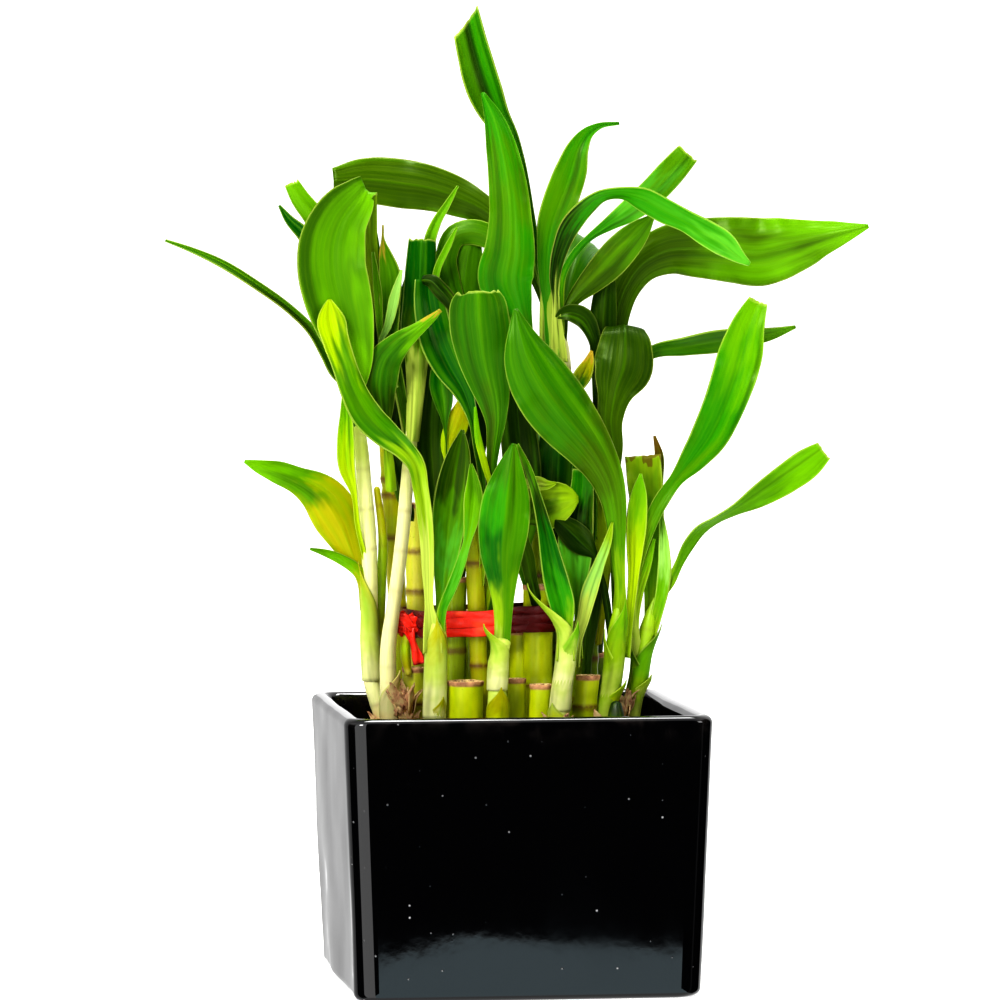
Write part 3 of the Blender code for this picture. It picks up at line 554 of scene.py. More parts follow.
def buildStalk(name, plan, habit, node):
    across, away, radius, leanAcross, leanAway, top, joints, tone = plan
    own = Vector((across, away, 0)) * 3.1
    heights = list(np.linspace(habit["foot"], habit["soil"] - 3, 6))
    heights += list(np.arange(habit["soil"] - 2, top - habit["band"] - 0.4, 0.9))
    heights += list(np.linspace(top - habit["band"] - 0.2, top, 6))
    rows, ring, cut, heart = [], [], [], []

    def addRing(z, size, ringTone, cutTone, heartTone, ragged=0.0):
        share = max(0.0, (z - habit["soil"]) / (top - habit["soil"]))
        row = []
        for j in range(habit["sides"]):
            angle = math.tau * j / habit["sides"]
            way = Vector((math.cos(angle), math.sin(angle), 0))
            rough = 1 + habit["grain"] * noise.noise(way * 1.6 + own + Vector((0, 0, z * 0.08))) * 2
            lift = ragged * noise.noise(way * 2.3 + own)
            row.append((across + leanAcross * share + way.x * size * rough,
                        away + leanAway * share + way.y * size * rough, z + lift))
        rows.append(row)
        ring.append([ringTone] * len(row))
        cut.append([cutTone] * len(row))
        heart.append([heartTone] * len(row))

    for z in heights:
        near = min(abs(z - joint) for joint in joints)
        band = float(smoothstep(top - habit["band"] - 0.3, top - habit["band"] + 0.2, z))
        addRing(z, stalkRadius(z, top, radius, joints, habit), math.exp(-(near / 0.8) ** 2), band, 0.0,
                0.15 * band)
    for share, drop in ((0.95, -0.05), (0.84, 0.25), (0.78, habit["hollow"]), (0.5, habit["hollow"] * 1.1),
                        (0.2, habit["hollow"] * 0.8)):
        addRing(top - drop, radius * share, 0.0, 1.0 if share > 0.8 else 0.4, 1.0, 0.15)
    mesh = loftMesh(name, toWorld(np.array(rows)), {"ring": ring, "cut": cut, "heart": heart},
                    closed=True, capStart=True, capEnd=True)
    return keepPiece(name, mesh, [caneFinish(tone)], node)


def stemStreaks(tree, scale, detail=4.0):
    # fine lines that run up an upright stem
    return grainOf(tree, ownCoordinates(tree, (1.0, 1.0, 0.07)), scale, detail, 0.6)


caneFinishes = {}


def caneFinish(tone):
    if tone in caneFinishes:
        return caneFinishes[tone]
    finish, tree, skin = newFinish("caneSkin_" + tone)
    place = ownCoordinates(tree)
    ring, cut, heart = (readTone(tree, name) for name in ("ring", "cut", "heart"))
    patches = grainOf(tree, ownCoordinates(tree, (1.0, 1.0, 0.45)), 130.0, 3.0)
    colour = blendTint(tree, fade(tree, patches, 0.35, 0.7, 0.0, 0.7), green(tone), green("caneDeep"))
    colour = wash(tree, colour, "lime", stemStreaks(tree, 1500.0), 0.45, 0.75, 0.0, 0.35)
    colour = wash(tree, colour, "bark", grainOf(tree, place, 1900.0, 2.0), 0.66, 0.74, 0.0, 0.35)
    broken = fade(tree, grainOf(tree, place, 420.0, 3.0), 0.25, 0.5)
    colour = blendTint(tree, times(tree, ring, broken), colour, green("scar"))
    dried = blendTint(tree, fade(tree, grainOf(tree, place, 500.0, 4.0), 0.3, 0.75, 0.1, 0.8),
                      green("blush"), green("scar"))
    colour = blendTint(tree, cut, colour, dried)
    pith = blendTint(tree, fade(tree, grainOf(tree, place, 1300.0, 2.0), 0.4, 0.7),
                     green("paper"), green("scar"))
    colour = blendTint(tree, times(tree, heart, 0.85), colour, pith)
    feed(tree, skin.inputs["Base Color"], colour)
    skin.inputs["Specular IOR Level"].default_value = 0.3
    dull = plus(tree, fade(tree, patches, 0.3, 0.7, 0.26, 0.42), times(tree, cut, 0.35))
    feed(tree, skin.inputs["Roughness"], dull)
    softTissue(skin, 0.15, (0.9, 1.0, 0.2))
    lines = bumpOf(tree, stemStreaks(tree, 1800.0), 0.00012, 0.35)
    feed(tree, skin.inputs["Normal"], bumpOf(tree, grainOf(tree, place, 700.0), 0.0001, 0.3, lines))
    caneFinishes[tone] = finish
    return finish


for node, plan in stalkPlans.items():
    buildStalk(pieceName(node), plan, stalkHabit, node)
for name, plan in innerStalks.items():
    buildStalk(name, plan, stalkHabit, None)
print("stalks built:", len(stalkPlans) + len(innerStalks))


# shoots: stations (across, away, height, radius) from the foot up, and tones from foot to top
shootPlans = {
    "shoot_left_fork": {
        "tones": ("cream", "cream", "stem", "stem"), "route": [
        (-19.9, -25, 22.6, 2.2), (-19.9, -25, 68, 2.3), (-20.2, -24.8, 75, 2.9), (-20, -24.4, 82, 2.8),
        (-19.8, -24, 92, 2.9), (-19.5, -23.8, 99, 2.6), (-19.7, -23.7, 102, 1.5),
        (-19.9, -23.6, 104.4, 0.5)]},
    "shoot_far_left": {
        "tones": ("blush", "cream", "cream", "stem"), "route": [
        (-33, 6.4, 22.6, 1.8), (-33.2, 6.2, 66, 1.9), (-35.6, 5.6, 75, 2.4), (-38.2, 5.2, 84, 2.4),
        (-38.8, 5, 96, 2.3), (-38.8, 4.6, 110, 2.2), (-39.2, 4.2, 125, 2.2), (-40.4, 3.8, 140, 2.1),
        (-41.4, 3.4, 152, 1.9), (-43.6, 3, 164, 1.4)]},
    "shoot_white": {
        "tones": ("blush", "milk", "milk", "stem"), "route": [
        (-31, -8.6, 22.6, 1.8), (-31.2, -8.6, 66, 1.9), (-33, -8.4, 75, 2.2), (-33.4, -8, 85, 2.3),
        (-33.3, -7.6, 95, 2.2), (-32, -7, 105, 2), (-30.3, -6.4, 118, 1.9), (-29, -5.8, 130, 1.9),
        (-28, -5.2, 142, 1.8), (-26.7, -4.6, 155, 1.7), (-25.8, -4.2, 166, 1), (-25.4, -4, 174, 0.4)]},
    "shoot_front": {
        "tones": ("amber", "cream", "stem", "stem"), "route": [
        (-3.2, -29.4, 22.6, 2), (-3.2, -29.4, 68, 2.2), (-2.9, -29.4, 74, 2.8), (-2.6, -29.4, 79, 2.9),
        (-2.8, -29.2, 84, 2.5), (-2.4, -29, 92, 2.5), (-1.2, -28.8, 97.6, 2.2)]},
    "shoot_front_right": {
        "tones": ("paper", "cream", "stem", "stem"), "route": [
        (15.2, -27.2, 22.6, 1.9), (15.2, -27.2, 68, 2), (14.4, -26.8, 76, 2.8), (15, -26.4, 83, 2.5),
        (16.2, -26, 91, 2.5), (16.6, -25.8, 99.6, 2.4)]},
    "shoot_right": {
        "tones": ("cream", "stem", "reed", "reed"), "route": [
        (27.6, -14.8, 22.6, 1.9), (27.6, -14.8, 67, 2), (27.4, -15.2, 76, 2.6), (28.8, -15.6, 83, 2.4),
        (30, -16, 92, 2.5), (30.6, -16.2, 101, 2.3), (31.2, -16.3, 105.6, 1.5), (31.8, -16.4, 109.2, 0.4)]},
    "shoot_far_right": {
        "tones": ("bark", "stem", "reed", "reed"), "route": [
        (33.4, -6.4, 22.6, 1.8), (33.4, -6.4, 66, 1.9), (34.8, -7.4, 77, 2.3), (36.6, -8.4, 85, 2.4),
        (38, -9, 93, 2.4), (39.4, -9.4, 100, 2.2), (40.2, -9.5, 104, 1.5), (41, -9.6, 107.6, 0.4)]},
    "shoot_core": {
        "tones": ("reed", "stem", "cream", "cream"), "route": [
        (10.6, 6, 130, 2.2), (11.4, 6, 134.2, 2.6), (12.6, 5.2, 144, 2.5), (14.4, 3.4, 158, 2.6),
        (15.4, 2, 169, 2.7), (14.8, 1.2, 178, 2.6), (13.4, 1, 185, 2.2)]},
}
smallStems = {
    "stemBesideLeft": {
        "tones": ("gold", "gold", "reed", "gold"), "route": [
        (-35.4, 9, 70, 1.2), (-36.4, 8.6, 90, 1.4), (-35.8, 8.2, 110, 1.5), (-35.2, 7.6, 124, 1.3),
        (-36.8, 6.6, 138, 0.9)]},
    "stubDarkRight": {
        "tones": ("moss", "dusk", "grass", "dusk"), "route": [
        (30.3, -20, 40, 1.9), (30.3, -20, 66, 1.9), (30.3, -19.8, 78, 1.9), (30.3, -19.8, 79.4, 1.5)]},
    "budLeftGold": {
        "tones": ("amber", "gold", "lime", "gold"), "route": [
        (-27.6, -2.6, 86, 0.9), (-28.6, -3.2, 92, 1.5), (-28.4, -3.6, 96, 1.3), (-27.6, -3.8, 100, 0.4)]},
}
shootHabit = {"sides": 28, "perMillimetre": 0.9, "ringGap": 11.0}


def buildShoot(name, plan, habit, node=None):
    route = plan["route"]
    length = route[-1][2] - route[0][2]
    rows, _, _ = smoothRows(route, max(14, int(length * habit["perMillimetre"])))
    centres, radii = rows[:, :3], rows[:, 3]
    ahead = directions(centres)
    side = np.array([1.0, 0.0, 0.0])
    base = max(route[0][2], 60.0)
    rings, along, ringTones = [], [], []
    for centre, way, radius in zip(centres, ahead, radii):
        side = side - way * np.dot(side, way)
        side /= np.linalg.norm(side)
        other = np.cross(way, side)
        angles = np.linspace(0, math.tau, habit["sides"], endpoint=False)
        # an upright crease or two keeps a shoot from being a plain pipe
        crease = 1 + 0.03 * np.cos(3 * angles + centre[2] * 0.05) + 0.02 * np.cos(5 * angles)
        near = abs((centre[2] + base) % habit["ringGap"] - habit["ringGap"] / 2)
        mark = math.exp(-(near / 0.5) ** 2)
        size = radius * (crease + 0.03 * mark)
        rings.append(centre + np.outer(np.cos(angles) * size, side) + np.outer(np.sin(angles) * size, other))
        up = (centre[2] - base) / max(1.0, route[-1][2] - base)
        along.append([float(np.clip(up, 0, 1))] * habit["sides"])
        ringTones.append([mark] * habit["sides"])
    tip = rings[-1].mean(axis=0)
    for squeeze, lift in ((0.85, 0.35), (0.55, 0.7), (0.2, 0.85)):
        rings.append(tip + (rings[len(centres) - 1] - tip) * squeeze + ahead[-1] * lift)
        along.append(along[-1])
        ringTones.append(ringTones[-1])
    mesh = loftMesh(name, toWorld(np.array(rings)), {"along": along, "ring": ringTones},
                    closed=True, capStart=True, capEnd=True)
    return keepPiece(name, mesh, [shootFinish(plan["tones"])], node)


shootFinishes = {}


def shootFinish(tones):
    if tones in shootFinishes:
        return shootFinishes[tones]
    finish, tree, skin = newFinish("shootSkin_" + "_".join(tones))
    place = ownCoordinates(tree)
    along, ring = readTone(tree, "along"), readTone(tree, "ring")
    drift = plus(tree, along, fade(tree, grainOf(tree, place, 90.0), 0.2, 0.8, -0.09, 0.09))
    stops = [(level, green(tone)) for level, tone in zip((0.05, 0.2, 0.6, 1.0), tones)]
    colour = rampTint(tree, drift, stops)
    colour = wash(tree, colour, "reed", stemStreaks(tree, 1300.0), 0.45, 0.75, 0.0, 0.22)
    skin.inputs["Specular IOR Level"].default_value = 0.3
    blotch = fade(tree, grainOf(tree, place, 240.0, 3.0), 0.55, 0.72, 0.0, 0.3)
    colour = blendTint(tree, times(tree, blotch, fade(tree, along, 0.7, 0.0)), colour, green("blush"))
    colour = blendTint(tree, times(tree, ring, 0.25), colour, green("scar"))
    feed(tree, skin.inputs["Base Color"], colour)
    feed(tree, skin.inputs["Roughness"], fade(tree, grainOf(tree, place, 200.0), 0.3, 0.7, 0.3, 0.5))
    softTissue(skin, 0.2, (1.0, 1.0, 0.4))
    fine = bumpOf(tree, stemStreaks(tree, 1600.0), 0.00014, 0.35)
    feed(tree, skin.inputs["Normal"], bumpOf(tree, grainOf(tree, place, 600.0), 0.0001, 0.25, fine))
    shootFinishes[tones] = finish
    return finish


for node, plan in shootPlans.items():
    buildShoot(pieceName(node), plan, shootHabit, node)
for name, plan in smallStems.items():
    buildShoot(name, plan, shootHabit)
print("shoots built:", len(shootPlans) + len(smallStems))


# leaves: stations (across, away, height, half width) and a tilt where there is one, from base to tip
# "root" stations join a blade to its shoot; "fold" lifts both sides away (+) or towards the front (-)
# "light" names the tone of a blade's painted light
leafPlans = {
    "leaf_left_thin": {
        "fold": -0.5, "split": "leaf", "ripple": 0, "tones": ("grass", "moss", "grass"), "back": "moss",
        "root": [(-43.4, 2.8, 159, 1), (-44.6, 1, 164.4, 1.1)], "route": [
        (-45.8, -0.4, 168.2, 1.2, 20), (-48.2, -1.6, 171.6, 1.7, 26), (-50.6, -2.6, 176.2, 1.6, 30),
        (-55, -4.2, 183.4, 1.3, 30), (-60.5, -5.8, 188.8, 1.2, 30), (-70, -8.2, 195.8, 1.2, 30),
        (-80, -10, 202, 1.1, 28), (-88, -11.2, 205.6, 0.7, 20), (-95.2, -12, 208.2, 0.3)]},
    "leaf_left_broad": {
        "fold": 0.22, "tones": ("stem", "reed", "dusk", "dusk"), "back": "leaf",
        "backTones": ("reed", "grass", "spring", "leaf", "spring"), "ripple": 0.03,
        "root": [(-27.4, -4.8, 148, 1), (-29, -3.8, 158, 1), (-31.6, -3.6, 170, 1)], "route": [
        (-34.6, -3.6, 182, 1), (-36, -4, 190, 1.3), (-37.8, -4.6, 202, 1.8), (-38.8, -5.4, 213, 2.4),
        (-38.9, -7.4, 220.6, 2.6), (-39.4, -10.4, 222.8, 3.4), (-42.4, -12.8, 219.4, 6, -6),
        (-46.4, -14.4, 213.8, 7.9, -10), (-48.4, -15.2, 207.6, 9.2, -10), (-48.7, -15.8, 201, 9.5, -8),
        (-47.4, -16, 194, 9.5, -6), (-45.6, -16, 187, 8.7, -3), (-43.8, -15.6, 180, 7),
        (-42.2, -15, 173, 4.8), (-41, -14.2, 166, 1.2)]},
    "leaf_fork_left": {
        "fold": -0.3, "tones": ("stem", "stem", "reed", "grass", "leaf", "lime"), "back": "leaf",
        "root": [(-20.6, -25.4, 94, 2.6), (-20.9, -25.2, 101, 2.2)], "route": [
        (-21.6, -24.2, 107, 1.2), (-21.9, -24.4, 116, 1.6), (-22.4, -25, 128, 2),
        (-23.9, -25.6, 139.6, 2.2), (-25.4, -25.8, 146.6, 2.5), (-28.8, -25.2, 150.8, 2.9, 18),
        (-33.5, -24.4, 154.6, 3.7, 28), (-38.5, -23.4, 159.6, 4.1, 30), (-42.5, -22.2, 166.6, 3.6, 26),
        (-45.2, -21, 174, 3.4, 14), (-47.5, -19.6, 180.6, 3.7), (-48.9, -18.8, 186.6, 3.8),
        (-49.2, -18.5, 189.6, 2.2), (-49.3, -18.4, 191.8, 0.5)]},
    "leaf_left_brown_tip": {
        "fold": 0.25, "tones": ("reed", "moss", "grass", "spring"), "back": "grass", "dry": 0.95,
        "root": [(-32.4, -7.6, 138, 1.4), (-33, -9.4, 146, 1.4)], "route": [
        (-33.8, -10.8, 154.6, 1.1), (-34.8, -12.2, 161.6, 3.2, 8), (-35.4, -13.4, 169, 4.9, 10),
        (-33.8, -14.4, 175.2, 4.5, 10), (-30, -15.4, 179.6, 3.3, 6), (-25, -16.4, 183.4, 1.9),
        (-21, -17.2, 186.6, 1.1), (-18.4, -17.8, 188.8, 0.5)]},
    "leaf_back_olive": {
        "fold": 0.3, "tones": ("olive", "olive", "olive"), "back": "moss",
        "root": [(12.6, 2, 182, 1.2), (10.6, 4.6, 190.6, 1.2)], "route": [
        (7.6, 6.4, 198, 1.4), (3.4, 8, 206.6, 2.4), (-1, 9.4, 212, 3.2, 6), (-6, 10.4, 216.4, 3.8, 10),
        (-13, 11.2, 220, 5.3, 12), (-22, 11.4, 223, 6.4, 14), (-31, 10.6, 224.4, 6.9, 12),
        (-40, 9.2, 225.3, 6.2, 8), (-49, 7.2, 225, 3.6)]},
    "leaf_left_rolled": {
        "fold": 0.75, "tones": ("stem", "stem", "olive", "deep", "deep"), "back": "grass", "cut": 0.6,
        "gloss": 0.2, "root": [(-26.6, -6.6, 152, 1.8), (-25.8, -6.4, 163, 2.3), (-25.4, -5, 171, 2.8)],
        "route": [
        (-25.4, -3.2, 177.2, 3.4), (-25.4, -2.6, 183, 4.4), (-24.7, -2, 190, 4.6),
        (-24.2, -1.4, 200, 4.3), (-23.8, -0.8, 209, 3.7)]},
    "leaf_deep_trough": {
        "fold": -0.5, "tones": ("reed", "grass", "deep", "deep"), "back": "dusk", "gloss": 0.22,
        "root": [(-7.4, -11.2, 112, 0.9), (-6.4, -13.2, 126, 0.9)], "route": [
        (-6.9, -14.6, 141, 0.9), (-8.2, -15.2, 150, 1.1), (-9.6, -15.4, 158.6, 1.4),
        (-12.2, -14, 166.2, 2.8, 10), (-15.8, -12.6, 172.4, 4.2, 14), (-19, -11.4, 179.2, 4.8, 12),
        (-20.8, -10.6, 186, 4.7, 8), (-21.8, -10, 192, 4.2, 4), (-22.2, -9.4, 197.4, 3.5)]},
    "leaf_frilled_cut": {
        "fold": 0.12, "tones": ("reed", "gold", "moss", "olive", "grass", "grass"), "back": "dusk",
        "cut": 1.6, "split": "grass",
        "root": [(-6, -9.8, 102, 1.2), (-4, -10.4, 113, 1.2), (-3.6, -12, 123, 1)], "route": [
        (-3.8, -13.6, 132, 1), (-4.4, -15.8, 143, 1.3), (-3.9, -18.4, 150.6, 1.8),
        (-3.2, -20.8, 158, 2.9), (-3.9, -22.6, 164.4, 4.6, -4), (-5.3, -24, 170.2, 6, -6),
        (-6.5, -25.2, 176, 7.3, -6), (-7.2, -26.2, 182, 8.3, -4), (-7.8, -27, 187, 8.3, -4),
        (-8, -27.4, 191.4, 7.6, -4), (-8.2, -27.6, 195, 5.6, -2)]},
    "leaf_centre_big": {
        "fold": 0.2, "tones": ("reed", "leaf", "olive", "grass", "grass"), "back": "dusk",
        "root": [(31.2, -17, 98, 2.5), (31.4, -17.2, 105, 2)], "route": [
        (31.4, -17.4, 112, 1.5), (30.8, -18, 120, 2), (30.4, -19, 128, 2.6, 6),
        (29.6, -21, 135.6, 3.5, 10), (28, -23.8, 141.6, 4.5, 12), (25.3, -27, 147.2, 5.7, 14),
        (21.5, -30.4, 152.8, 7.1, 14), (16.5, -33.8, 159, 8.5, 12), (11.5, -36, 165.6, 8.9, 8),
        (7.8, -36.6, 171.6, 8.1, 4), (5.2, -36.2, 177.2, 6.4), (3.6, -35.2, 182.8, 3.7),
        (2.3, -33.6, 189.4, 0.5)]},
    "leaf_centre_tall": {
        "fold": 0.3, "light": "jade", "tones": ("moss", "grass", "emerald", "leaf", "emerald"),
        "back": "grass", "gloss": 0.26,
        "root": [(13.2, 1.8, 142, 1.6), (11.4, -2.2, 155, 1.7), (8.6, -4.8, 166, 1.6)], "route": [
        (6.4, -6.4, 176, 1.6), (4.2, -7.4, 184, 3), (1.8, -8.2, 190, 5.4), (-0.4, -8.8, 197, 7.7, -6),
        (0.7, -9.2, 205, 7.1, -8), (0.9, -9.4, 215, 5.9, -8), (0, -9.2, 225, 5.2, -6),
        (-1.8, -8.8, 235, 4.1, -4), (-3.7, -8.4, 242, 2.7), (-6.9, -8, 249.4, 0.5)]},
    "leaf_top_folded": {
        "fold": -0.8, "slant": 0.85, "light": "jade", "split": "emerald",
        "tones": ("leaf", "grass", "leaf"), "back": "grass", "cut": 0.4, "trough": "dusk",
        "root": [(13, 3.6, 170, 1.8), (12, 3.6, 181, 1.3)], "route": [
        (10.8, 3.4, 191, 1.1), (8.6, 3.2, 203, 1.1), (6.6, 2.8, 215, 1.1), (5, 2.4, 225, 1.1, 20),
        (3.2, 2, 232, 1.4, 20), (0.6, 1.6, 238, 2.3, 10), (-3.4, 1, 243.6, 3.9), (-6, 0.8, 249.4, 4.8),
        (-8, 0.8, 255.4, 4.9), (-9.8, 1.2, 262, 4.5), (-11.6, 1.8, 269.6, 4.1)]},
    "leaf_upper_hooked": {
        "fold": -0.25, "tones": ("jade", "emerald", "leaf", "emerald"), "light": "spring",
        "back": "leaf", "root": [(13.2, -1, 171, 2.1), (12.2, -1.4, 181, 1.7)], "route": [
        (11.4, -1.6, 189, 1.2), (11, -3, 197, 2.1), (11.4, -4.2, 206, 3.1), (12.6, -5.2, 213, 4.1, 4),
        (15.5, -6, 221, 4.8, 6), (18, -6.2, 228, 4.4, 4), (19.8, -5.6, 234, 3), (22.3, -4.4, 238, 1.8),
        (25.8, -2.8, 240.2, 0.9), (31.4, -0.6, 241, 0.4)]},
    # its dusk first half is painted shade where the blade turns its underside to the front, and its jade tip
    # is a painted highlight
    "leaf_upper_arching": {
        "fold": -0.2, "tones": ("stem", "dusk", "dusk", "emerald", "emerald", "jade"), "light": "jade",
        "back": "spring", "root": [(14.8, -2.2, 174, 2.2), (14, -2.8, 184, 1.6)], "route": [
        (13.6, -3.4, 191.4, 1.1), (13.4, -7.4, 198.6, 1.6, 10), (15, -11.4, 206.2, 2.3, 20),
        (17.6, -13.8, 212.2, 2.8, 24), (21.5, -15.8, 217, 2.4, 40), (26.5, -17.4, 220.6, 1.6, 56),
        (32, -18.4, 221.2, 1.6, 56), (37.4, -19, 219.6, 3.1, 32), (43.4, -19.6, 216.4, 3.4, 20),
        (50, -20.4, 213.2, 3, 24), (55.4, -21.2, 210, 3.5, 20), (60.2, -22, 207, 3.4, 14),
        (64.2, -22.8, 203.6, 1.8, 6), (67, -23.4, 201.6, 0.6)]},
    "leaf_upper_cut": {
        "fold": 0.15, "tones": ("reed", "emerald", "emerald", "jade", "leaf"), "back": "deep",
        "cut": 0.6, "light": "spring", "root": [(14.6, -1.6, 182, 1.5), (14.8, -2, 191, 1.1)], "route": [
        (16, -2.4, 199.4, 0.9), (19, -4.4, 204.8, 1, 30), (23.5, -6.2, 209.4, 1, 40),
        (28.5, -7.8, 212.8, 1.9, 30), (34, -9, 216.4, 3.2, 16), (40, -9.8, 221.2, 3.8, 8),
        (45.5, -10, 227, 3.9, 4), (50.7, -9.6, 232.8, 3.3)]},
    "leaf_upper_olive": {
        "fold": 0.25, "tones": ("moss", "olive", "leaf"), "back": "moss",
        "root": [(14.8, 0, 175, 1.5), (15.6, -0.4, 182.6, 1.3)], "route": [
        (16.6, -0.6, 188.4, 1.1), (19, -0.4, 192, 2), (23, -0.4, 196.2, 3.4, 6),
        (27.8, -0.8, 201, 4.5, 10), (32.6, -1.4, 206.2, 4.5, 8), (37, -2.2, 211, 3.2, 4),
        (41, -3, 215.2, 0.5)]},
    "leaf_right_big": {
        "fold": 0.28, "tones": ("dusk", "moss", "olive", "olive", "spring"), "back": "moss",
        "ripple": 0.16,
        "root": [(25.2, 5.6, 88, 1.4), (27, 7, 112, 1.4), (29.4, 8.6, 140, 1.4), (30.4, 9.2, 156, 1.6)],
        "route": [
        (30.8, 9.6, 168, 1.8), (30.6, 10.2, 178, 2.9), (31, 10.4, 187, 3.6), (33.4, 10.2, 195, 4.2),
        (38, 9.6, 201.6, 5.4, 4), (45, 8.6, 205.4, 6.9, 8), (54, 7, 206, 8.3, 10),
        (63, 5, 205.6, 9.2, 12), (71, 3, 205, 9.6, 12), (80, 0.6, 206.8, 7.8, 8),
        (88, -1.8, 208.8, 5.1, 4), (95, -4, 210.6, 2.7), (101, -6, 212.2, 0.5)]},
    "leaf_right_thin": {
        "fold": -0.3, "tones": ("grass", "grass", "leaf"), "back": "moss",
        "root": [(29.8, 8.2, 150, 0.9), (31.4, 5.8, 160, 0.9)], "route": [
        (33.6, 3, 170, 0.9), (41, 3.4, 176.8, 1.8, 20), (50, 3, 178.4, 2.6, 40),
        (59, 2.4, 179.8, 3.2, 46), (68, 1.4, 181, 2.6, 44), (75, 0.4, 182.2, 1.6, 30),
        (81, -0.6, 184, 0.4)]},
    "leaf_right_upright": {
        "fold": -0.22, "tones": ("reed", "leaf", "emerald", "spring"), "back": "grass", "cut": 0.5,
        "root": [(33.6, -12.6, 99, 1.6), (34.8, -13, 108, 1.3)], "route": [
        (36.4, -13.4, 117, 1.2), (39, -14, 127, 1.9), (43, -13.6, 135.8, 2.1),
        (47.2, -12.6, 141.6, 2, 10), (51.8, -11.6, 147.2, 3.8, 20), (56.4, -10.6, 153.6, 5.3, 20),
        (60, -9.6, 161, 5.8, 16), (63, -8.6, 169, 6.2, 12), (65.4, -7.6, 177, 6.2, 8),
        (67.6, -6.6, 185, 4.5, 4), (70.4, -5.4, 191.6, 2.7)]},
    "leaf_right_round_fold": {
        "fold": 0.2, "tones": ("dusk", "olive", "moss"), "back": "dusk",
        "root": [(30.6, -15, 105, 1.2), (30, -12.4, 122, 1.3)], "route": [
        (29.6, -9.6, 141, 1.6), (29.8, -9.4, 150, 2.5), (28.9, -9, 158, 3.4), (30, -8.6, 165, 4.9, 4),
        (31, -8, 168.6, 6.8, 6), (32.4, -7.2, 172.6, 8.2, 6), (33, -5.8, 178.6, 7.6, 6),
        (33, -3.4, 182.8, 6.2, 4), (33, -0.6, 184, 5), (33.2, 1.8, 182.4, 3.4), (33.4, 3.4, 178.6, 0.8)]},
    "leaf_right_low": {
        "fold": -0.15, "tones": ("reed", "leaf", "leaf", "spring"), "back": "leaf", "cut": 0.5,
        "root": [(40.9, -9.8, 100, 1.4), (42, -10.1, 104.6, 1.2)], "route": [
        (43.2, -10.4, 108.6, 1), (45.6, -11.2, 112.8, 1.3), (48, -12, 118, 1.2, 20),
        (50.6, -12.8, 123.2, 1.6, 30), (54, -13.4, 127.6, 1.5, 50), (58, -13.8, 130.2, 1.1, 60),
        (63, -14, 132.9, 1.5, 50), (70, -13.8, 136.9, 3.2, 24), (78, -13.2, 142, 4.2, 10),
        (84, -12.4, 146.2, 4.2, 4), (88.6, -11.6, 149.8, 2.8)]},
    "leaf_right_brown_cut": {
        "fold": -0.3, "tones": ("reed", "spring", "leaf", "reed"), "back": "olive", "cut": 0.3,
        "dry": 0.985, "dryTone": "bark", "root": [(40, -8.6, 98, 1.6), (40.1, -7.9, 104, 1.6)],
        "route": [
        (40.2, -7.2, 110, 1.8), (40.4, -6.6, 118, 2.8), (40, -6, 128, 4), (38.8, -5.4, 138, 4.8),
        (38, -4.8, 148.2, 5)]},
    "leaf_band_glossy": {
        "fold": -0.25, "tones": ("reed", "leaf", "jade", "dusk", "emerald"), "back": "deep",
        "gloss": 0.16, "cut": 1, "root": [(19.6, -20.4, 92, 1.4), (19.6, -19.2, 100, 1)], "route": [
        (19.5, -18.2, 106.4, 0.9), (19.3, -18, 111, 2.2), (19, -17.6, 118, 4.2), (19, -17, 124.6, 4.9),
        (19.5, -16.2, 131, 4.6), (20.8, -15.2, 138, 3.4), (21, -14.2, 145, 2.7)]},
    "leaf_front_centre": {
        "fold": 0.35, "split": "leaf", "light": "emerald",
        "tones": ("stem", "reed", "deep", "emerald", "grass"), "back": "grass", "gloss": 0.26,
        "root": [(-2.2, -29.4, 90, 2.4)], "route": [
        (-1.3, -29.2, 99.4, 2.2), (-1.1, -29.6, 106, 2.6), (-1.3, -30, 114, 4), (-1.5, -30.6, 122, 6),
        (-0.9, -31, 130, 7), (-0.1, -31, 138, 6.3), (0.9, -30.4, 146, 3.4), (1.8, -29.6, 152.2, 0.5)]},
    "leaf_front_dark": {
        "fold": -0.35, "light": "emerald", "tones": ("reed", "emerald", "deep", "dusk", "leaf"),
        "back": "deep", "gloss": 0.28, "root": [(16.2, -26.8, 92, 2.5)], "route": [
        (16, -27.2, 101.4, 2.2), (15.3, -27.6, 107, 3.4, 6), (13.6, -28.2, 114, 3.5, 10),
        (12, -28.8, 121, 2.9, 14), (10.3, -29, 129, 2, 20), (8.3, -28.8, 137, 1.4, 20),
        (5.8, -28, 145, 1.1, 10), (2.8, -27, 152, 0.4)]},
    "leaf_fork_glossy": {
        "fold": -0.25, "tones": ("reed", "spring", "jade", "leaf", "moss", "moss"), "back": "grass",
        "gloss": 0.2, "root": [(-18.8, -21.6, 95, 2), (-18.6, -20.8, 101, 1.6)], "route": [
        (-18.4, -20, 106.6, 1.4), (-17.9, -20, 113, 2.2), (-17, -20, 122, 3.8), (-16, -19.8, 132, 4.8),
        (-14.6, -19.2, 142, 4.5), (-13.2, -18.4, 150, 2.9), (-12.4, -17.8, 155.6, 0.5)]},
    "leaf_fork_bright": {
        "fold": -0.2, "tones": ("reed", "emerald", "jade", "spring", "leaf"), "back": "leaf",
        "gloss": 0.2, "root": [(-19.2, -24.6, 96, 1.8), (-18.6, -24.6, 102, 1.4)], "route": [
        (-17.9, -24.8, 106.2, 1.3), (-15.4, -25.2, 112, 1.5), (-12.8, -25.4, 119, 1.4),
        (-11, -25.4, 125, 1.2), (-9.9, -25.2, 131, 2.2), (-9.3, -24.8, 137, 2.7),
        (-9.5, -24.2, 142.4, 1.6), (-10, -23.8, 146.4, 0.4)]},
    # its gold tones are painted backlight
    "leaf_left_droop": {
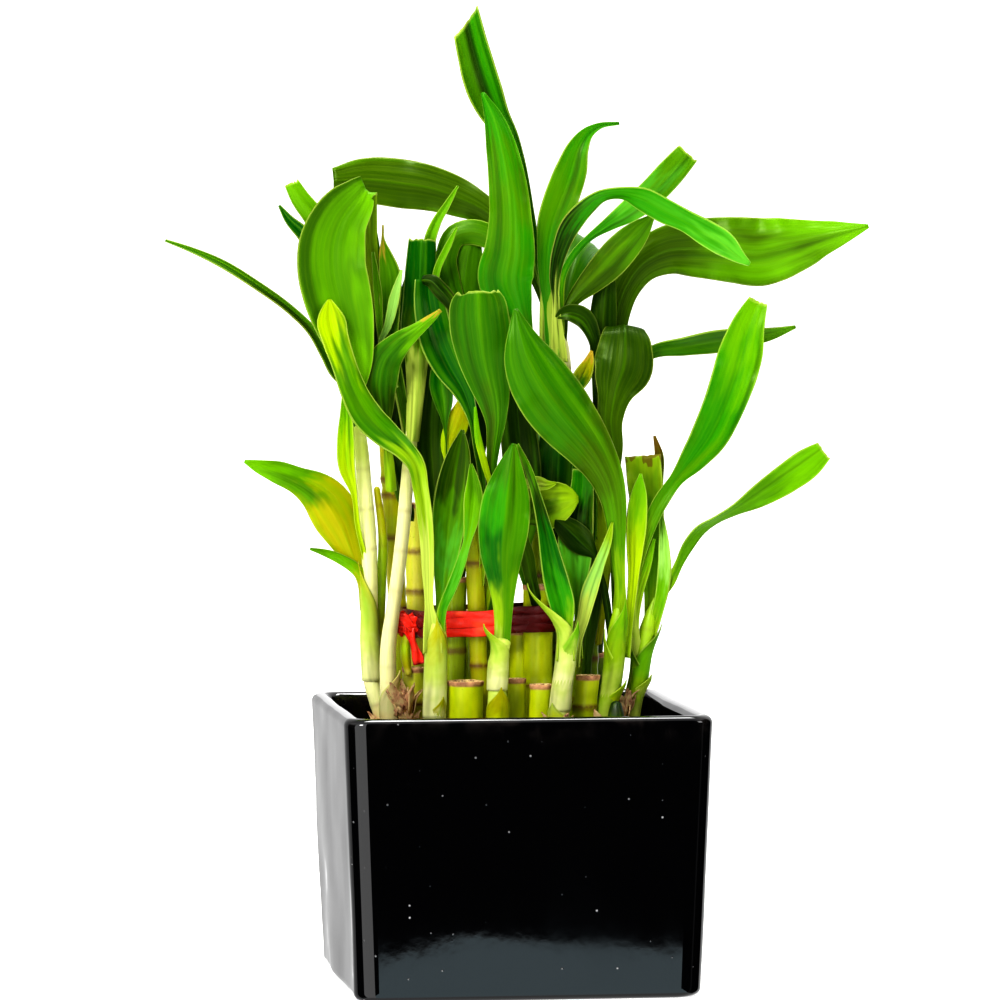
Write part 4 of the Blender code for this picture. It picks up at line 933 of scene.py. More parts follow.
        "fold": 0.28, "tones": ("gold", "gold", "gold", "leaf", "spring"), "back": "gold",
        "root": [(-40, 4.6, 104, 1.4)], "route": [
        (-41.4, 4.2, 113, 1.2), (-44.3, 3.4, 121.5, 4.2), (-47.6, 2.2, 129.5, 6.6, 6),
        (-52.2, 0.8, 136.4, 6, 10), (-58.6, -1, 140.6, 3.8, 10), (-65, -2.8, 143.4, 3, 8),
        (-70, -4, 145, 1.7, 4), (-73.6, -4.8, 146.4, 0.4)]},
    "leaf_behind_arch": {
        "fold": 0.3, "tones": ("leaf", "grass", "leaf"), "back": "dusk",
        "root": [(-4.6, 3.4, 122, 1.2), (-8.4, 4, 146, 1.4), (-11.4, 3.4, 168, 1.5)], "route": [
        (-13, 3, 188, 1.8), (-16, 4, 196, 3), (-17, 4.4, 204, 3), (-14.6, 4.4, 209.4, 3.2),
        (-10, 4, 210.6, 3.6), (-4.4, 3.4, 209, 3.2), (0.6, 3, 206.4, 0.8)]},
    "leaf_rear_right": {
        "fold": 0.25, "tones": ("leaf", "grass", "leaf"), "back": "leaf",
        "root": [(14.2, 2.4, 176, 1.2)], "route": [
        (15, 5.2, 184, 1.2), (17.4, 11, 194, 3.2, 10), (20.4, 20, 203, 5.8, 14),
        (23.6, 31, 206.6, 6.6, 14), (26.8, 42, 203, 5.2, 10), (29.6, 51, 195.4, 0.5)]},
    "leaf_rear_left": {
        "fold": 0.25, "tones": ("leaf", "grass", "leaf"), "back": "leaf",
        "root": [(-33.6, 15.2, 148, 1.4)], "route": [
        (-34.4, 16.4, 154, 1.3), (-35.8, 20.6, 164, 3.6, -8), (-38.2, 28, 174.4, 6.2, -14),
        (-41.4, 38, 181, 6.6, -14), (-45, 48, 180, 4.6, -10), (-48.6, 56, 173.6, 0.5)]},
    "leaf_rear_low": {
        "fold": 0.25, "tones": ("leaf", "grass", "leaf"), "back": "leaf",
        "root": [(-0.2, 4.2, 114, 1.2), (0.6, 6.4, 121, 1.2)], "route": [
        (1.4, 8.6, 128, 1.3), (3.6, 15, 140, 3.8, 8), (5.8, 24, 150, 6.4, 12), (7.8, 34, 154.4, 6.2, 12),
        (9.8, 44, 151, 4.2, 8), (11.6, 52, 144, 0.5)]},
}
smallLeaves = {
    "leafStubUpperLeft": {
        "fold": 0.3, "tones": ("grass", "leaf", "spring"), "back": "grass", "cut": 0.8,
        "root": [(-42.8, 2.4, 156, 1.2), (-41.4, -0.6, 168, 1.3)], "route": [
        (-40, -2, 180, 1.5), (-45, -2, 195, 2.5), (-50, -2, 208, 3), (-54.5, -2, 215.5, 3),
        (-58, -2, 220, 2.6), (-60.7, -2, 224.8, 2)]},
    "leafPointDark": {
        "fold": -0.3, "tones": ("dusk", "deep", "deep"), "back": "dusk",
        "root": [(-43.4, 1.6, 161, 1), (-46.4, -2, 180, 1.2)], "route": [
        (-50, -4, 198, 1.6), (-54, -4, 205, 1.9), (-57, -4, 210, 2), (-61, -4, 214, 1.3),
        (-63.8, -4, 218, 0.3)]},
    "leafDryPoint": {
        "fold": -0.4, "tones": ("moss", "leaf", "leaf"), "back": "dusk", "dry": 0.9,
        "root": [(-26.8, -4.8, 148, 1.2), (-29.6, -5.4, 165, 1.4)], "route": [
        (-32.6, -6, 180, 2.2), (-32.8, -6, 190, 2.9), (-32.9, -6, 199, 3), (-34.2, -6, 205, 1.6),
        (-34.7, -6, 208.4, 0.4), (-34.7, -6, 212.5, 0.2)]},
    "sliverPale": {
        "fold": -0.3, "tones": ("mint", "mint", "mint"), "back": "leaf", "root": [(-31, -6.2, 167, 0.5)],
        "route": [
        (-35.5, -8, 179.5, 0.6), (-33.5, -8, 184, 1.1), (-31.5, -8, 192, 1.4), (-29.5, -8, 200, 0.3)]},
    "sliverBright": {
        "fold": -0.3, "tones": ("spring", "spring", "leaf"), "back": "leaf",
        "root": [(-31, -5.8, 167, 0.6)], "route": [
        (-35, -6.8, 180, 0.8), (-36.2, -7, 194, 1.2), (-37.5, -7.2, 205, 0.4)]},
    "leafLimeRight": {
        "fold": -0.3, "tones": ("reed", "lime", "spring"), "back": "spring",
        "root": [(33, -15.6, 92, 1.2), (34.2, -15.4, 104, 1.2)], "route": [
        (35.3, -15, 116, 1.6), (35.7, -15, 124, 2.5), (36.2, -15, 132, 2.8), (36.8, -15, 139, 1.9),
        (37.2, -15, 143.3, 0.3)]},
    "leafFlapOlive": {
        "fold": 0.15, "tones": ("dusk", "olive", "olive", "olive", "reed"), "back": "moss",
        "ripple": 0.02, "root": [(8.4, -13.6, 106, 1.4), (5.8, -16.6, 119, 2)], "route": [
        (4.6, -18, 131, 3), (8.4, -18.5, 133.6, 6.4), (12.2, -18.9, 135, 6.5), (15.6, -19.1, 135.9, 5.2),
        (18.2, -19, 136.3, 3.2), (19.8, -18.8, 136.4, 0.8)]},
    "leafFlapPale": {
        "fold": 0.1, "tones": ("mint", "stem", "reed"), "back": "stem", "ripple": 0,
        "root": [(3.6, -18.6, 131, 1)], "route": [
        (5, -20, 140.6, 1.2), (8.4, -20.1, 140.8, 2), (11.2, -20.1, 140.4, 1.3), (13.6, -20, 140.9, 0.3)]},
    # its mint band is a painted highlight
    "leafPaleStrip": {
        "fold": -0.3, "tones": ("stem", "stem", "mint", "reed"), "back": "leaf", "gloss": 0.2,
        "root": [(18.4, -22.6, 90, 1.6), (19.2, -22, 97, 1.5)], "route": [
        (21, -21.4, 103, 1.7), (22.6, -21, 110, 2.2), (25.4, -20.6, 118, 1.6), (28, -20.4, 125, 1.1),
        (29.2, -20.2, 130, 0.3)]},
    "leafLeftInner": {
        "fold": -0.3, "tones": ("lime", "lime", "spring"), "back": "gold",
        "root": [(-39.6, 3.8, 117, 0.7)], "route": [
        (-42, 0, 128, 0.7), (-43, -1, 137, 0.9), (-45, -3, 145, 2.3), (-45.3, -3, 152, 2.4),
        (-45.2, -3, 160, 1.6), (-45.8, -3, 166.5, 0.3)]},
    "bractLeft": {
        "fold": 0.3, "tones": ("gold", "spring", "leaf"), "back": "gold", "route": [
        (-39.6, 3.4, 109, 1.2), (-42, 2.8, 115, 1.6), (-47, 2, 118.6, 1.4), (-52, 1.4, 120.6, 0.9),
        (-55.5, 1, 121.5, 0.3)]},
    "tipBehindLeft": {
        "fold": -0.3, "tones": ("leaf", "leaf", "spring"), "back": "leaf",
        "root": [(-25.2, -3.2, 166, 1), (-22.4, -0.2, 181, 1.2)], "route": [
        (-21, 1, 194, 1.2), (-21.5, 1, 209, 1.6), (-19.5, 1, 214, 1.3), (-17, 1, 218, 1),
        (-13.8, 1, 223.5, 0.3)]},
    "tipBehindSmall": {
        "fold": -0.3, "tones": ("leaf", "spring", "spring"), "back": "leaf",
        "root": [(-24.8, -3.4, 169, 0.8), (-21.8, -1.8, 180, 0.9)], "route": [
        (-20.4, -1.4, 190, 0.9), (-19.6, -1.4, 200, 1), (-16.6, -1.4, 206.6, 0.9), (-14, -1.4, 212, 0.3)]},
    "stripDarkOne": {
        "fold": 0.2, "tones": ("dusk", "dusk", "moss"), "back": "dusk", "root": [(26.4, 3.6, 150, 1)],
        "route": [
        (25.6, 5, 172, 1), (26.5, 5, 183, 1.4), (27, 5, 190, 1.1), (27.4, 5, 196, 0.3)]},
    "leafCurlDark": {
        "fold": -0.5, "tones": ("dusk", "deep", "gold"), "back": "dusk", "dry": 0.9,
        "root": [(15.2, 0.4, 154, 0.9)], "route": [
        (17, -4, 163, 1), (19, -5, 167, 2), (21.4, -6, 171, 2.4), (23, -6.4, 174.6, 1.4),
        (23.6, -6.6, 177.4, 0.3)]},
    "leafNarrowRight": {
        "fold": 0.3, "tones": ("stem", "reed", "spring"), "back": "leaf",
        "root": [(36.8, -9.6, 90, 1.6)], "route": [
        (35.4, -12.4, 101, 1.4), (36.6, -13, 110, 1.4), (39.2, -12.6, 118, 1.1), (41.1, -12.4, 125, 0.3)]},
    # its mint middle is a painted highlight
    "leafCyanRight": {
        "fold": -0.3, "tones": ("reed", "spring", "mint", "leaf"), "back": "leaf", "gloss": 0.18,
        "root": [(40.2, -10, 98, 1.4)], "route": [
        (42.4, -11, 106, 1.6), (43.8, -11.6, 114, 1.9), (43.8, -11.4, 123, 1.5), (42.8, -11.2, 133, 0.4)]},
    "stubOliveRight": {
        "fold": 0.3, "tones": ("olive", "olive", "bark"), "back": "olive",
        "root": [(40.6, -5, 127, 1.2)], "route": [
        (42.4, -3.6, 142, 1.4), (42.6, -3.6, 148, 1.2), (41.3, -3.6, 153.5, 0.3)]},
}
# leaves deep inside the planting, mostly in its shade; their dusk and moss tones are painted shade
innerLeaves = {
    # its gold and lime tones are painted backlight
    "innerBacklit": {
        "fold": 0.3, "tones": ("gold", "lime", "lime", "gold"), "back": "gold",
        "root": [(-14.2, -8, 110, 1.2), (-15, -7, 130, 1.2)], "route": [
        (-16, -6, 146, 1.4), (-15.8, -6.2, 151, 2.8), (-14, -6.6, 157, 3.2), (-12.2, -6.8, 162, 2.2),
        (-10.8, -7, 166.4, 0.5)]},
    "innerDarkLeft": {
        "fold": -0.4, "tones": ("moss", "moss", "dusk"), "back": "dusk",
        "root": [(-17.6, 1.6, 95, 1.3), (-18.6, 0.2, 112, 1.4)], "route": [
        (-19.5, -1, 128, 1.5), (-20.6, -1, 140, 3.4), (-21.4, -1, 152, 4.2), (-20.8, -1, 164, 4),
        (-18.6, -1, 176, 2.6), (-16.4, -1, 186, 0.5)]},
    "innerDarkMiddle": {
        "fold": 0.35, "tones": ("moss", "dusk", "moss"), "back": "dusk",
        "root": [(-13.6, -7.4, 110, 1.3), (-12.8, -5, 118, 1.4)], "route": [
        (-12, -3, 126, 1.6), (-12.2, -3.2, 136, 3.4), (-11.2, -3.6, 147, 4.6), (-9.4, -4, 158, 4.6),
        (-8, -4.4, 169, 3.6), (-6.4, -4.6, 180, 2.4), (-5.2, -4.8, 190, 0.5)]},
    "innerThinBlade": {
        "fold": 0.3, "tones": ("spring", "lime", "spring"), "back": "spring",
        "root": [(-3.6, -12, 124, 0.5), (-3.8, -15.4, 132, 0.6)], "route": [
        (-4.4, -17.4, 139, 0.6), (-6.4, -17.4, 146.5, 0.9), (-8.2, -17.4, 154, 0.9),
        (-8.9, -17.4, 162, 0.3)]},
    "innerBehindFront": {
        "fold": -0.35, "tones": ("leaf", "dusk", "moss"), "back": "dusk", "root": [(7, -9, 109, 1.3)],
        "route": [
        (4.2, -9, 118, 1.6), (4.8, -9.4, 130, 3.8), (4.4, -9.8, 143, 5.2), (3.2, -10.2, 156, 5),
        (2.4, -10.6, 169, 4), (2, -10.8, 181, 0.6)]},
    "innerDeepRight": {
        "fold": 0.3, "tones": ("dusk", "dusk", "deep"), "back": "dusk", "root": [(10.6, -8.6, 106, 1.3)],
        "route": [
        (13, -7.6, 112, 1.6), (13.4, -7.8, 124, 4.2), (14, -8, 136, 6), (14.4, -8.2, 147, 6),
        (15, -8.4, 157, 4.6), (16.4, -8.6, 166, 0.6)]},
    "innerGlossyRight": {
        "fold": -0.3, "tones": ("grass", "leaf", "deep"), "back": "dusk", "gloss": 0.2,
        "root": [(23, -5.6, 102, 1.2), (22.2, -10, 110, 1.4)], "route": [
        (21.6, -12.4, 118, 1.8), (21.8, -12.4, 127, 3.2), (21.6, -12.4, 136, 3.4),
        (20.8, -12.4, 145, 2.8), (20, -12.4, 152, 0.6)]},
    "innerDarkFlap": {
        "fold": 0.4, "light": "moss", "tones": ("dusk", "dusk", "dusk"), "back": "dusk",
        "root": [(29, -15.8, 98, 0.9), (27, -17.2, 111, 1)], "route": [
        (24, -18.6, 121, 1.2), (21.4, -18.7, 123.6, 3.4), (18.4, -18.8, 126.6, 3.8),
        (15.2, -18.6, 129.4, 2.6), (12.6, -18.4, 131.2, 0.5)]},
    "innerYellowRight": {
        "fold": 0.3, "tones": ("gold", "lime", "olive"), "back": "gold", "root": [(25.2, -5.2, 95, 1.2)],
        "route": [
        (26.4, -9, 106, 1.4), (26.6, -9.2, 118, 2.5), (26.8, -9.4, 130, 2.9), (26.4, -9.6, 141, 2.4),
        (25.6, -9.8, 150, 0.6)]},
    "innerDarkUpper": {
        "fold": 0.35, "tones": ("dusk", "dusk", "moss"), "back": "dusk",
        "root": [(24.6, 4.8, 88, 1.4), (25.6, 4, 118, 1.5)], "route": [
        (26.8, 2.6, 146, 1.8), (27.2, 3, 159, 2.9), (27.2, 3, 172, 3.4), (27, 3.4, 184, 3.8),
        (27.8, 3.6, 195, 2.9), (29.2, 4, 204, 0.6)]},
    "innerArchDark": {
        "fold": -0.3, "tones": ("moss", "moss", "dusk", "dusk"), "back": "dusk",
        "root": [(13.4, 0.4, 182.4, 0.5)], "route": [
        (13.6, -2.6, 186.4, 0.3), (15, -3.2, 187.4, 1.4), (17.2, -3.8, 188, 2.3), (20.8, -3.6, 187, 2.8),
        (24.2, -3.2, 181.6, 2), (25.4, -3, 174, 1.3), (25.2, -3, 167, 0.5)]},
    "innerLeftBack": {
        "fold": 0.3, "tones": ("moss", "dusk", "grass"), "back": "dusk",
        "root": [(-26.4, 7.6, 129, 1.3)], "route": [
        (-29.6, 3.4, 136, 1.6), (-30.6, 3.4, 149, 3), (-31, 3.4, 162, 4), (-30.4, 3, 175, 4.2),
        (-29, 2.6, 188, 2.8), (-28, 2.4, 198, 0.6)]},
    "innerLeftUpper": {
        "fold": -0.3, "tones": ("dusk", "moss", "grass"), "back": "dusk",
        "root": [(-28.8, -3.6, 138, 1.2), (-32, -1.2, 149, 1.4)], "route": [
        (-35, 0.4, 160, 1.6), (-37, 0.4, 172, 3.6), (-38.6, 0.4, 184, 4.8), (-39.4, 0.4, 196, 4.6),
        (-39, 0.4, 208, 3), (-38.4, 0.4, 217, 0.6)]},
    "innerUpperMiddle": {
        "fold": 0.3, "tones": ("moss", "grass", "leaf"), "back": "dusk",
        "root": [(-5, 3.4, 122, 1.3), (-7.4, 4.4, 146, 1.4)], "route": [
        (-9.4, 5, 168, 1.8), (-11, 5.4, 181, 4.2), (-12, 5.6, 193, 5.2), (-10.8, 5.6, 204, 4),
        (-8.6, 5.4, 212, 0.8)]},
    "innerGlossyMiddle": {
        "fold": -0.3, "tones": ("deep", "leaf", "deep"), "back": "deep", "gloss": 0.16,
        "root": [(-15.4, -7.8, 111, 1), (-16.6, -7.6, 136, 1)], "route": [
        (-17.4, -7.6, 158, 1), (-17.8, -7.6, 163, 2.6), (-18.6, -7.6, 168, 3.2), (-18.6, -7.4, 173, 2.4),
        (-18, -7.2, 178, 0.5)]},
    "innerPaleStem": {
        "fold": -0.5, "tones": ("stem", "cream", "stem", "reed"), "back": "stem",
        "root": [(12.4, 3, 140, 1.5), (11.8, 1, 150, 1.6)], "route": [
        (11.6, -0.4, 160, 1.7), (11.4, -1, 172, 1.9), (11, -1.6, 184, 1.9), (11, -2.2, 196, 1.4),
        (11.4, -2.6, 206, 0.4)]},
    "innerFoldOver": {
        "fold": 0.4, "tones": ("dusk", "dusk", "moss"), "back": "dusk", "route": [
        (-23.6, -10.4, 197.2, 1.2), (-21.4, -11.4, 197, 1.8), (-18.6, -12.4, 194.4, 2.2),
        (-15.8, -13.2, 191.2, 2), (-13.2, -13.8, 187.4, 1.4), (-11.4, -14.2, 183.6, 0.4)]},
    "innerRightShade": {
        "fold": -0.3, "tones": ("reed", "moss", "dusk"), "back": "dusk",
        "root": [(21.4, -8, 60, 1.2), (22, -9.2, 80, 1.3)], "route": [
        (22.4, -9.6, 92, 1.4), (23.6, -9.6, 102, 2), (24.4, -9.4, 112, 2.4), (24.2, -9.2, 121, 2),
        (23.6, -9, 129, 0.5)]},
}
leafHabit = {
    "perMillimetre": 0.75, "leastRows": 26, "thick": 0.34,
    "columns": (-1.0, -0.94, -0.8, -0.62, -0.44, -0.26, -0.12, -0.04, 0.04, 0.12, 0.26, 0.44, 0.62, 0.8,
                0.94, 1.0),
    "foldPower": 1.5, "foldBase": 0.4, "levelPull": 1.6,
    "ripple": 0.10, "waves": 0.055,     # edge waves: height as a share of the half width, waves per mm
    "wrap": 0.75, "wrapEnd": 0.16,      # the base curls round its shoot
    "rib": 0.035,                       # depth of the midrib's crease, as a share of the half width
    "gloss": 0.3, "shine": 0.2, "shineTint": (0.75, 1.0, 0.4, 1.0),
    # light and shade are the tones of each blade's painted light and painted shade
    "bands": 1.9, "light": "spring", "shade": "dusk", "margin": 0.42, "dried": 0.7,
    "veinGap": 1.3, "veinShare": 0.035,  # millimetres from vein to vein
    "glow": 0.26,
}


def leafSides(stations, pull):
    # the way across at each station: level where the leaf stands, carried on where it lies away
    centres = stations[:, :3]
    ahead = directions(centres)
    away = np.array([0.0, 1.0, 0.0])
    sides = []
    for way in ahead:
        level = np.cross(away, way)
        strength = np.linalg.norm(level)
        share = min(1.0, strength * pull)
        side = level / strength if not sides else sides[-1]
        carried = side - way * np.dot(side, way)
        carried /= np.linalg.norm(carried)
        level = level if np.dot(level, carried) > 0 else -level
        side = carried * (1 - share) + level * share
        sides.append(side / np.linalg.norm(side))
    return np.array(sides)


def buildLeaf(name, plan, habit, node=None):
    spots = plan.get("root", []) + plan["route"]
    stations = np.array([(*spot, 0)[:5] for spot in spots], dtype=float)     # no tilt where none is given
    sides = leafSides(stations, habit["levelPull"])
    full = np.hstack([stations, sides])
    _, _, length = smoothRows(full, 2)
    count = max(habit["leastRows"], int(length * habit["perMillimetre"]))
    run, share, length = smoothRows(full, count)
    centres = run[:, :3]
    half = np.maximum(run[:, 3], 0.12)
    slope = np.tan(np.radians(run[:, 4]))
    ahead = directions(centres)
    columns = np.array(habit["columns"])
    sign = 1.0 if plan["fold"] > 0 else -1.0
    seed = sum(ord(letter) for letter in name)
    dice = random.Random(seed)
    phase = [dice.uniform(0, math.tau) for _ in range(4)]
    ripple = plan.get("ripple", habit["ripple"])
    rows, along, across = [], [], []
    for i, (centre, way, t) in enumerate(zip(centres, ahead, share)):
        side = run[i, 5:8] - way * np.dot(run[i, 5:8], way)
        side /= np.linalg.norm(side)
        face = np.cross(way, side)
        h = half[i]
        wrap = habit["wrap"] * float(1 - smoothstep(0.0, habit["wrapEnd"], t))
        fold = plan["fold"] + sign * wrap
        reach = length * t * habit["waves"] * math.tau
        middle = float(smoothstep(0.1, 0.35, t) * (1 - smoothstep(0.92, 1.0, t)))
        row = []
        for s in columns:
            lift = s * slope[i] + fold * (abs(s) ** habit["foldPower"] - habit["foldBase"])
            wave = math.sin(reach + phase[0 if s < 0 else 1]) + 0.5 * math.sin(2.3 * reach + phase[2])
            lift += ripple * wave * abs(s) ** 3 * middle
            lift -= sign * habit["rib"] * math.exp(-(s / 0.07) ** 2)
            skew = plan.get("slant", 0.0) * s * h * float(smoothstep(0.8, 1.0, t))
            edge = 0.0
            if plan.get("cut") and i >= count - 2:
                jag = noise.noise(Vector((s * 2.1, seed, 0))) + 0.6 * noise.noise(Vector((s * 6.0, seed, 3)))
                edge = -plan["cut"] * (0.4 + abs(jag) * 1.6) * (1.0 if i == count - 1 else 0.4)
            row.append(centre + side * h * s + face * h * lift + way * (skew + edge))
        rows.append(row)
        along.append([t] * len(columns))
        across.append(list(columns))
    mesh = bladeMesh(name, rows, along, across)
    finishes = [leafFinish(name, plan, plan["tones"], habit, False),
                leafFinish(name + "Back", plan, plan.get("backTones", (plan["back"],) * 2), habit, True)]
    piece = keepPiece(name, mesh, finishes, node)
    thicken(piece, habit["thick"]).material_offset = 1      # the back has a finish of its own


def leafFinish(name, plan, tones, habit, back):
    finish, tree, skin = newFinish("leafSkin_" + name)
    along, across = readTone(tree, "along"), readTone(tree, "across")
    own = (sum(ord(letter) for letter in name) % 97) * 0.37
    widest = max([station[3] for station in plan.get("route", [])] or [2.5])
    off = sums(tree, "ABSOLUTE", across)

    def pattern(acrossRate, alongRate, scale, detail, rough=0.55):
        spot = joinVector(tree, times(tree, across, acrossRate), times(tree, along, alongRate), own)
        return grainOf(tree, spot, scale, detail, rough)

    # broad soft bands lengthwise, a few across the blade, and fainter finer streaks; in the colour the bands
    # lay painted light and painted shade
    broad = pattern(habit["bands"], 1.1, 1.0, 2.0, 0.5)
    streaks = pattern(0.5 * widest, 1.6, 2.0, 3.0, 0.6)
    clouds = pattern(0.8, 3.0, 2.0, 2.0)
    place = plus(tree, along, fade(tree, clouds, 0.2, 0.8, -0.12, 0.12))
    steps = len(tones) - 1
    colour = rampTint(tree, place, [(0.05 + 0.9 * k / steps, green(tone)) for k, tone in enumerate(tones)])
    if plan.get("split"):
        colour = wash(tree, colour, plan["split"], across, -0.08, 0.12, 0.0, 0.8)
    # painted light in the light tone and painted shade in the shade tone, laid by the broad bands; the fine
    # streaks add a little of the shade tone and of lime
    colour = wash(tree, colour, plan.get("light", habit["light"]), broad, 0.5, 0.75, 0.0, 0.45)
    colour = wash(tree, colour, habit["shade"], broad, 0.5, 0.25, 0.0, 0.55)
    colour = wash(tree, colour, habit["shade"], streaks, 0.5, 0.2, 0.0, 0.10)
    colour = wash(tree, colour, "lime", streaks, 0.5, 0.8, 0.0, 0.08)
    veins = sums(tree, "SINE", times(tree, across, math.tau * widest / habit["veinGap"]))
    colour = wash(tree, colour, "lime", veins, 0.2, 1.0, 0.0, habit["veinShare"])
    colour = wash(tree, colour, "spring", off, 0.07, 0.015, 0.0, 0.12)      # midrib
    # painted shade darkens the trough of the fold
    if plan.get("trough"):
        colour = wash(tree, colour, plan["trough"], off, 0.42, 0.1, 0.0, 0.8)
    edge = max(0.86, 1.0 - 0.28 / widest)       # a pale margin about a quarter of a millimetre wide
    colour = wash(tree, colour, "stem", off, edge - 0.03, edge + 0.03, 0.0, habit["margin"])
    if plan.get("cut"):
        colour = wash(tree, colour, "stem", along, 0.985, 1.0, 0.0, 0.6)
    if plan.get("dry"):
        dryEnd = min(1.0, plan["dry"] + 0.08)
        colour = wash(tree, colour, plan.get("dryTone", "straw"), place, plan["dry"], dryEnd, 0.0,
                      habit["dried"])
    feed(tree, skin.inputs["Base Color"], colour)
    gloss = plan.get("gloss", habit["gloss"]) + (0.08 if back else 0.0)
    feed(tree, skin.inputs["Roughness"], fade(tree, streaks, 0.3, 0.7, gloss - 0.05, gloss + 0.08))
    skin.inputs["Specular IOR Level"].default_value = habit["shine"]
    skin.inputs["Specular Tint"].default_value = habit["shineTint"]
    ridges = plus(tree, times(tree, veins, 0.15), times(tree, streaks, 0.7))
    fine = bumpOf(tree, ridges, 0.00005, 0.5)
    feed(tree, skin.inputs["Normal"], bumpOf(tree, broad, 0.00012 * widest, 0.6, fine))
    glowThrough(tree, skin, blendTint(tree, 0.35, colour, green("lime")), habit["glow"])
    return finish


for node, plan in leafPlans.items():
    buildLeaf(pieceName(node), plan, leafHabit, node)
for name, plan in smallLeaves.items():
    buildLeaf(name, plan, leafHabit)
innerHabit = {**leafHabit, "margin": 0.1, "veinShare": 0.02}
for name, plan in innerLeaves.items():
    buildLeaf(name, plan, innerHabit)
print("leaves built:", len(leafPlans) + len(smallLeaves) + len(innerLeaves))


# sheaths: a leaf's base wrapped round its shoot, ending in a point
# facing is degrees round the shoot: 0 towards the front, 90 to the right
sheathPlans = {
    "sheathForkFront": {"shoot": "shoot_left_fork", "low": 76, "high": 104, "facing": 8, "cover": 300,
                        "flare": 0.7, "tones": ("cream", "stem", "gold")},
    "sheathForkLow": {"shoot": "shoot_left_fork", "low": 64, "high": 82, "facing": 40, "cover": 280,
                      "flare": 0.4, "tones": ("cane", "cream", "gold")},
    "sheathFrontPoint": {"shoot": "shoot_front", "low": 84, "high": 102.5, "facing": -62, "cover": 300,
                         "flare": 3.4, "tones": ("cream", "stem", "reed")},
    "sheathFrontBulb": {"shoot": "shoot_front", "low": 66, "high": 85, "facing": 20, "cover": 320,
                        "flare": 0.5, "tones": ("gold", "cane", "gold")},
    "sheathFrontRightLong": {"shoot": "shoot_front_right", "low": 82, "high": 113.5, "facing": -75,
                             "cover": 290, "flare": 8.6, "tones": ("cream", "stem", "reed")},
    "sheathFrontRightNotch": {"shoot": "shoot_front_right", "low": 78, "high": 103, "facing": 45,
                              "cover": 280, "flare": 1.4, "tones": ("cream", "stem", "spring")},
    "sheathRightTip": {"shoot": "shoot_right", "low": 78, "high": 108.5, "facing": 30, "cover": 290,
                       "flare": 1.4, "tones": ("stem", "reed", "spring")},
    "sheathRightNotch": {"shoot": "shoot_right", "low": 72, "high": 100, "facing": -80, "cover": 260,
                         "flare": 0.8, "tones": ("stem", "reed", "reed")},
    "sheathFarRight": {"shoot": "shoot_far_right", "low": 74, "high": 96, "facing": -80, "cover": 270,
                       "flare": 0.9, "tones": ("stem", "reed", "leaf")},
    "sheathFarRightNotch": {"shoot": "shoot_far_right", "low": 80, "high": 101, "facing": 80,
                            "cover": 270, "flare": 1.2, "tones": ("reed", "spring", "leaf")},
    "sheathFarLeft": {"shoot": "shoot_far_left", "low": 84, "high": 118, "facing": -60, "cover": 290,
                      "flare": 0.8, "tones": ("cream", "stem", "gold")},
    "sheathRightLow": {"shoot": "shoot_right", "low": 69, "high": 86, "facing": 65, "cover": 300,
                       "flare": 1.6, "tones": ("gold", "cane", "reed")},
    "sheathFarRightLow": {"shoot": "shoot_far_right", "low": 71, "high": 87, "facing": 55, "cover": 300,
                          "flare": 1.4, "tones": ("gold", "stem", "reed")},
    "sheathFrontRightLow": {"shoot": "shoot_front_right", "low": 65, "high": 80.5, "facing": -35,
                            "cover": 310, "flare": 1, "tones": ("gold", "cane", "stem")},
    "sheathWhite": {"shoot": "shoot_white", "low": 70, "high": 88, "facing": 60, "cover": 290,
                    "flare": 1.2, "tones": ("paper", "milk", "paper")},
}
sheathHabit = {"rows": 30, "columns": 17, "gap": 0.28, "thick": 0.3, "pointFrom": 0.45}


def shootSpot(route, z):
    rows = np.array(route, dtype=float)
    return [float(np.interp(z, rows[:, 2], rows[:, k])) for k in (0, 1, 3)]


def buildSheath(name, plan, habit):
    route = shootPlans[plan["shoot"]]["route"]
    facing = math.radians(plan["facing"])
    outward = np.array([math.sin(facing), -math.cos(facing), 0.0])
    rows, along, across = [], [], []
    for i in range(habit["rows"]):
        t = i / (habit["rows"] - 1)
        z = plan["low"] + (plan["high"] - plan["low"]) * t
        u, w, radius = shootSpot(route, z)
        open01 = float(smoothstep(habit["pointFrom"], 1.0, t))
        cover = math.radians(plan["cover"]) * (1 - open01) ** 0.8 + 0.04
        size = radius + habit["gap"] + 0.12 * math.sin(7 * t)
        lean = plan["flare"] * float(smoothstep(0.45, 1.0, t)) ** 1.5
        row = []
        for s in np.linspace(-0.5, 0.5, habit["columns"]):
            angle = facing + s * cover
            way = np.array([math.sin(angle), -math.cos(angle), 0.0])
            row.append(np.array([u, w, z]) + way * size + outward * lean)
        rows.append(row)
        along.append([t] * habit["columns"])
        across.append(list(np.linspace(-1, 1, habit["columns"])))
    mesh = bladeMesh(name, rows, along, across)
    finish = leafFinish(name, plan, plan["tones"], leafHabit, True)
    thicken(keepPiece(name, mesh, [finish]), habit["thick"])


for name, plan in sheathPlans.items():
    buildSheath(name, plan, sheathHabit)
print("sheaths built:", len(sheathPlans))


# dry brown husks and rootlets where shoots leave the gravel
# centre (across, away, height), spread, number of shreds, length
huskPlans = {
    "huskWhite": ((-29, -10.8, 80), 4.4, 24, 8),
    "huskWhiteLow": ((-26.6, -9.4, 73), 4.2, 18, 7),
    "huskFarLeft": ((-34.6, 1.6, 72), 3.6, 16, 7),
    "huskFrontRight": ((13.6, -29.4, 75), 3.6, 16, 6),
    "huskFarRight": ((32, -11, 79), 3.6, 18, 7),
    "huskFork": ((-16.4, -26, 72), 2.4, 9, 4),
    "huskFront": ((-3.4, -31.4, 70.8), 3, 11, 4.5),
    "huskRight": ((24.8, -17, 78), 3.6, 14, 6),
}
huskThick = 0.18


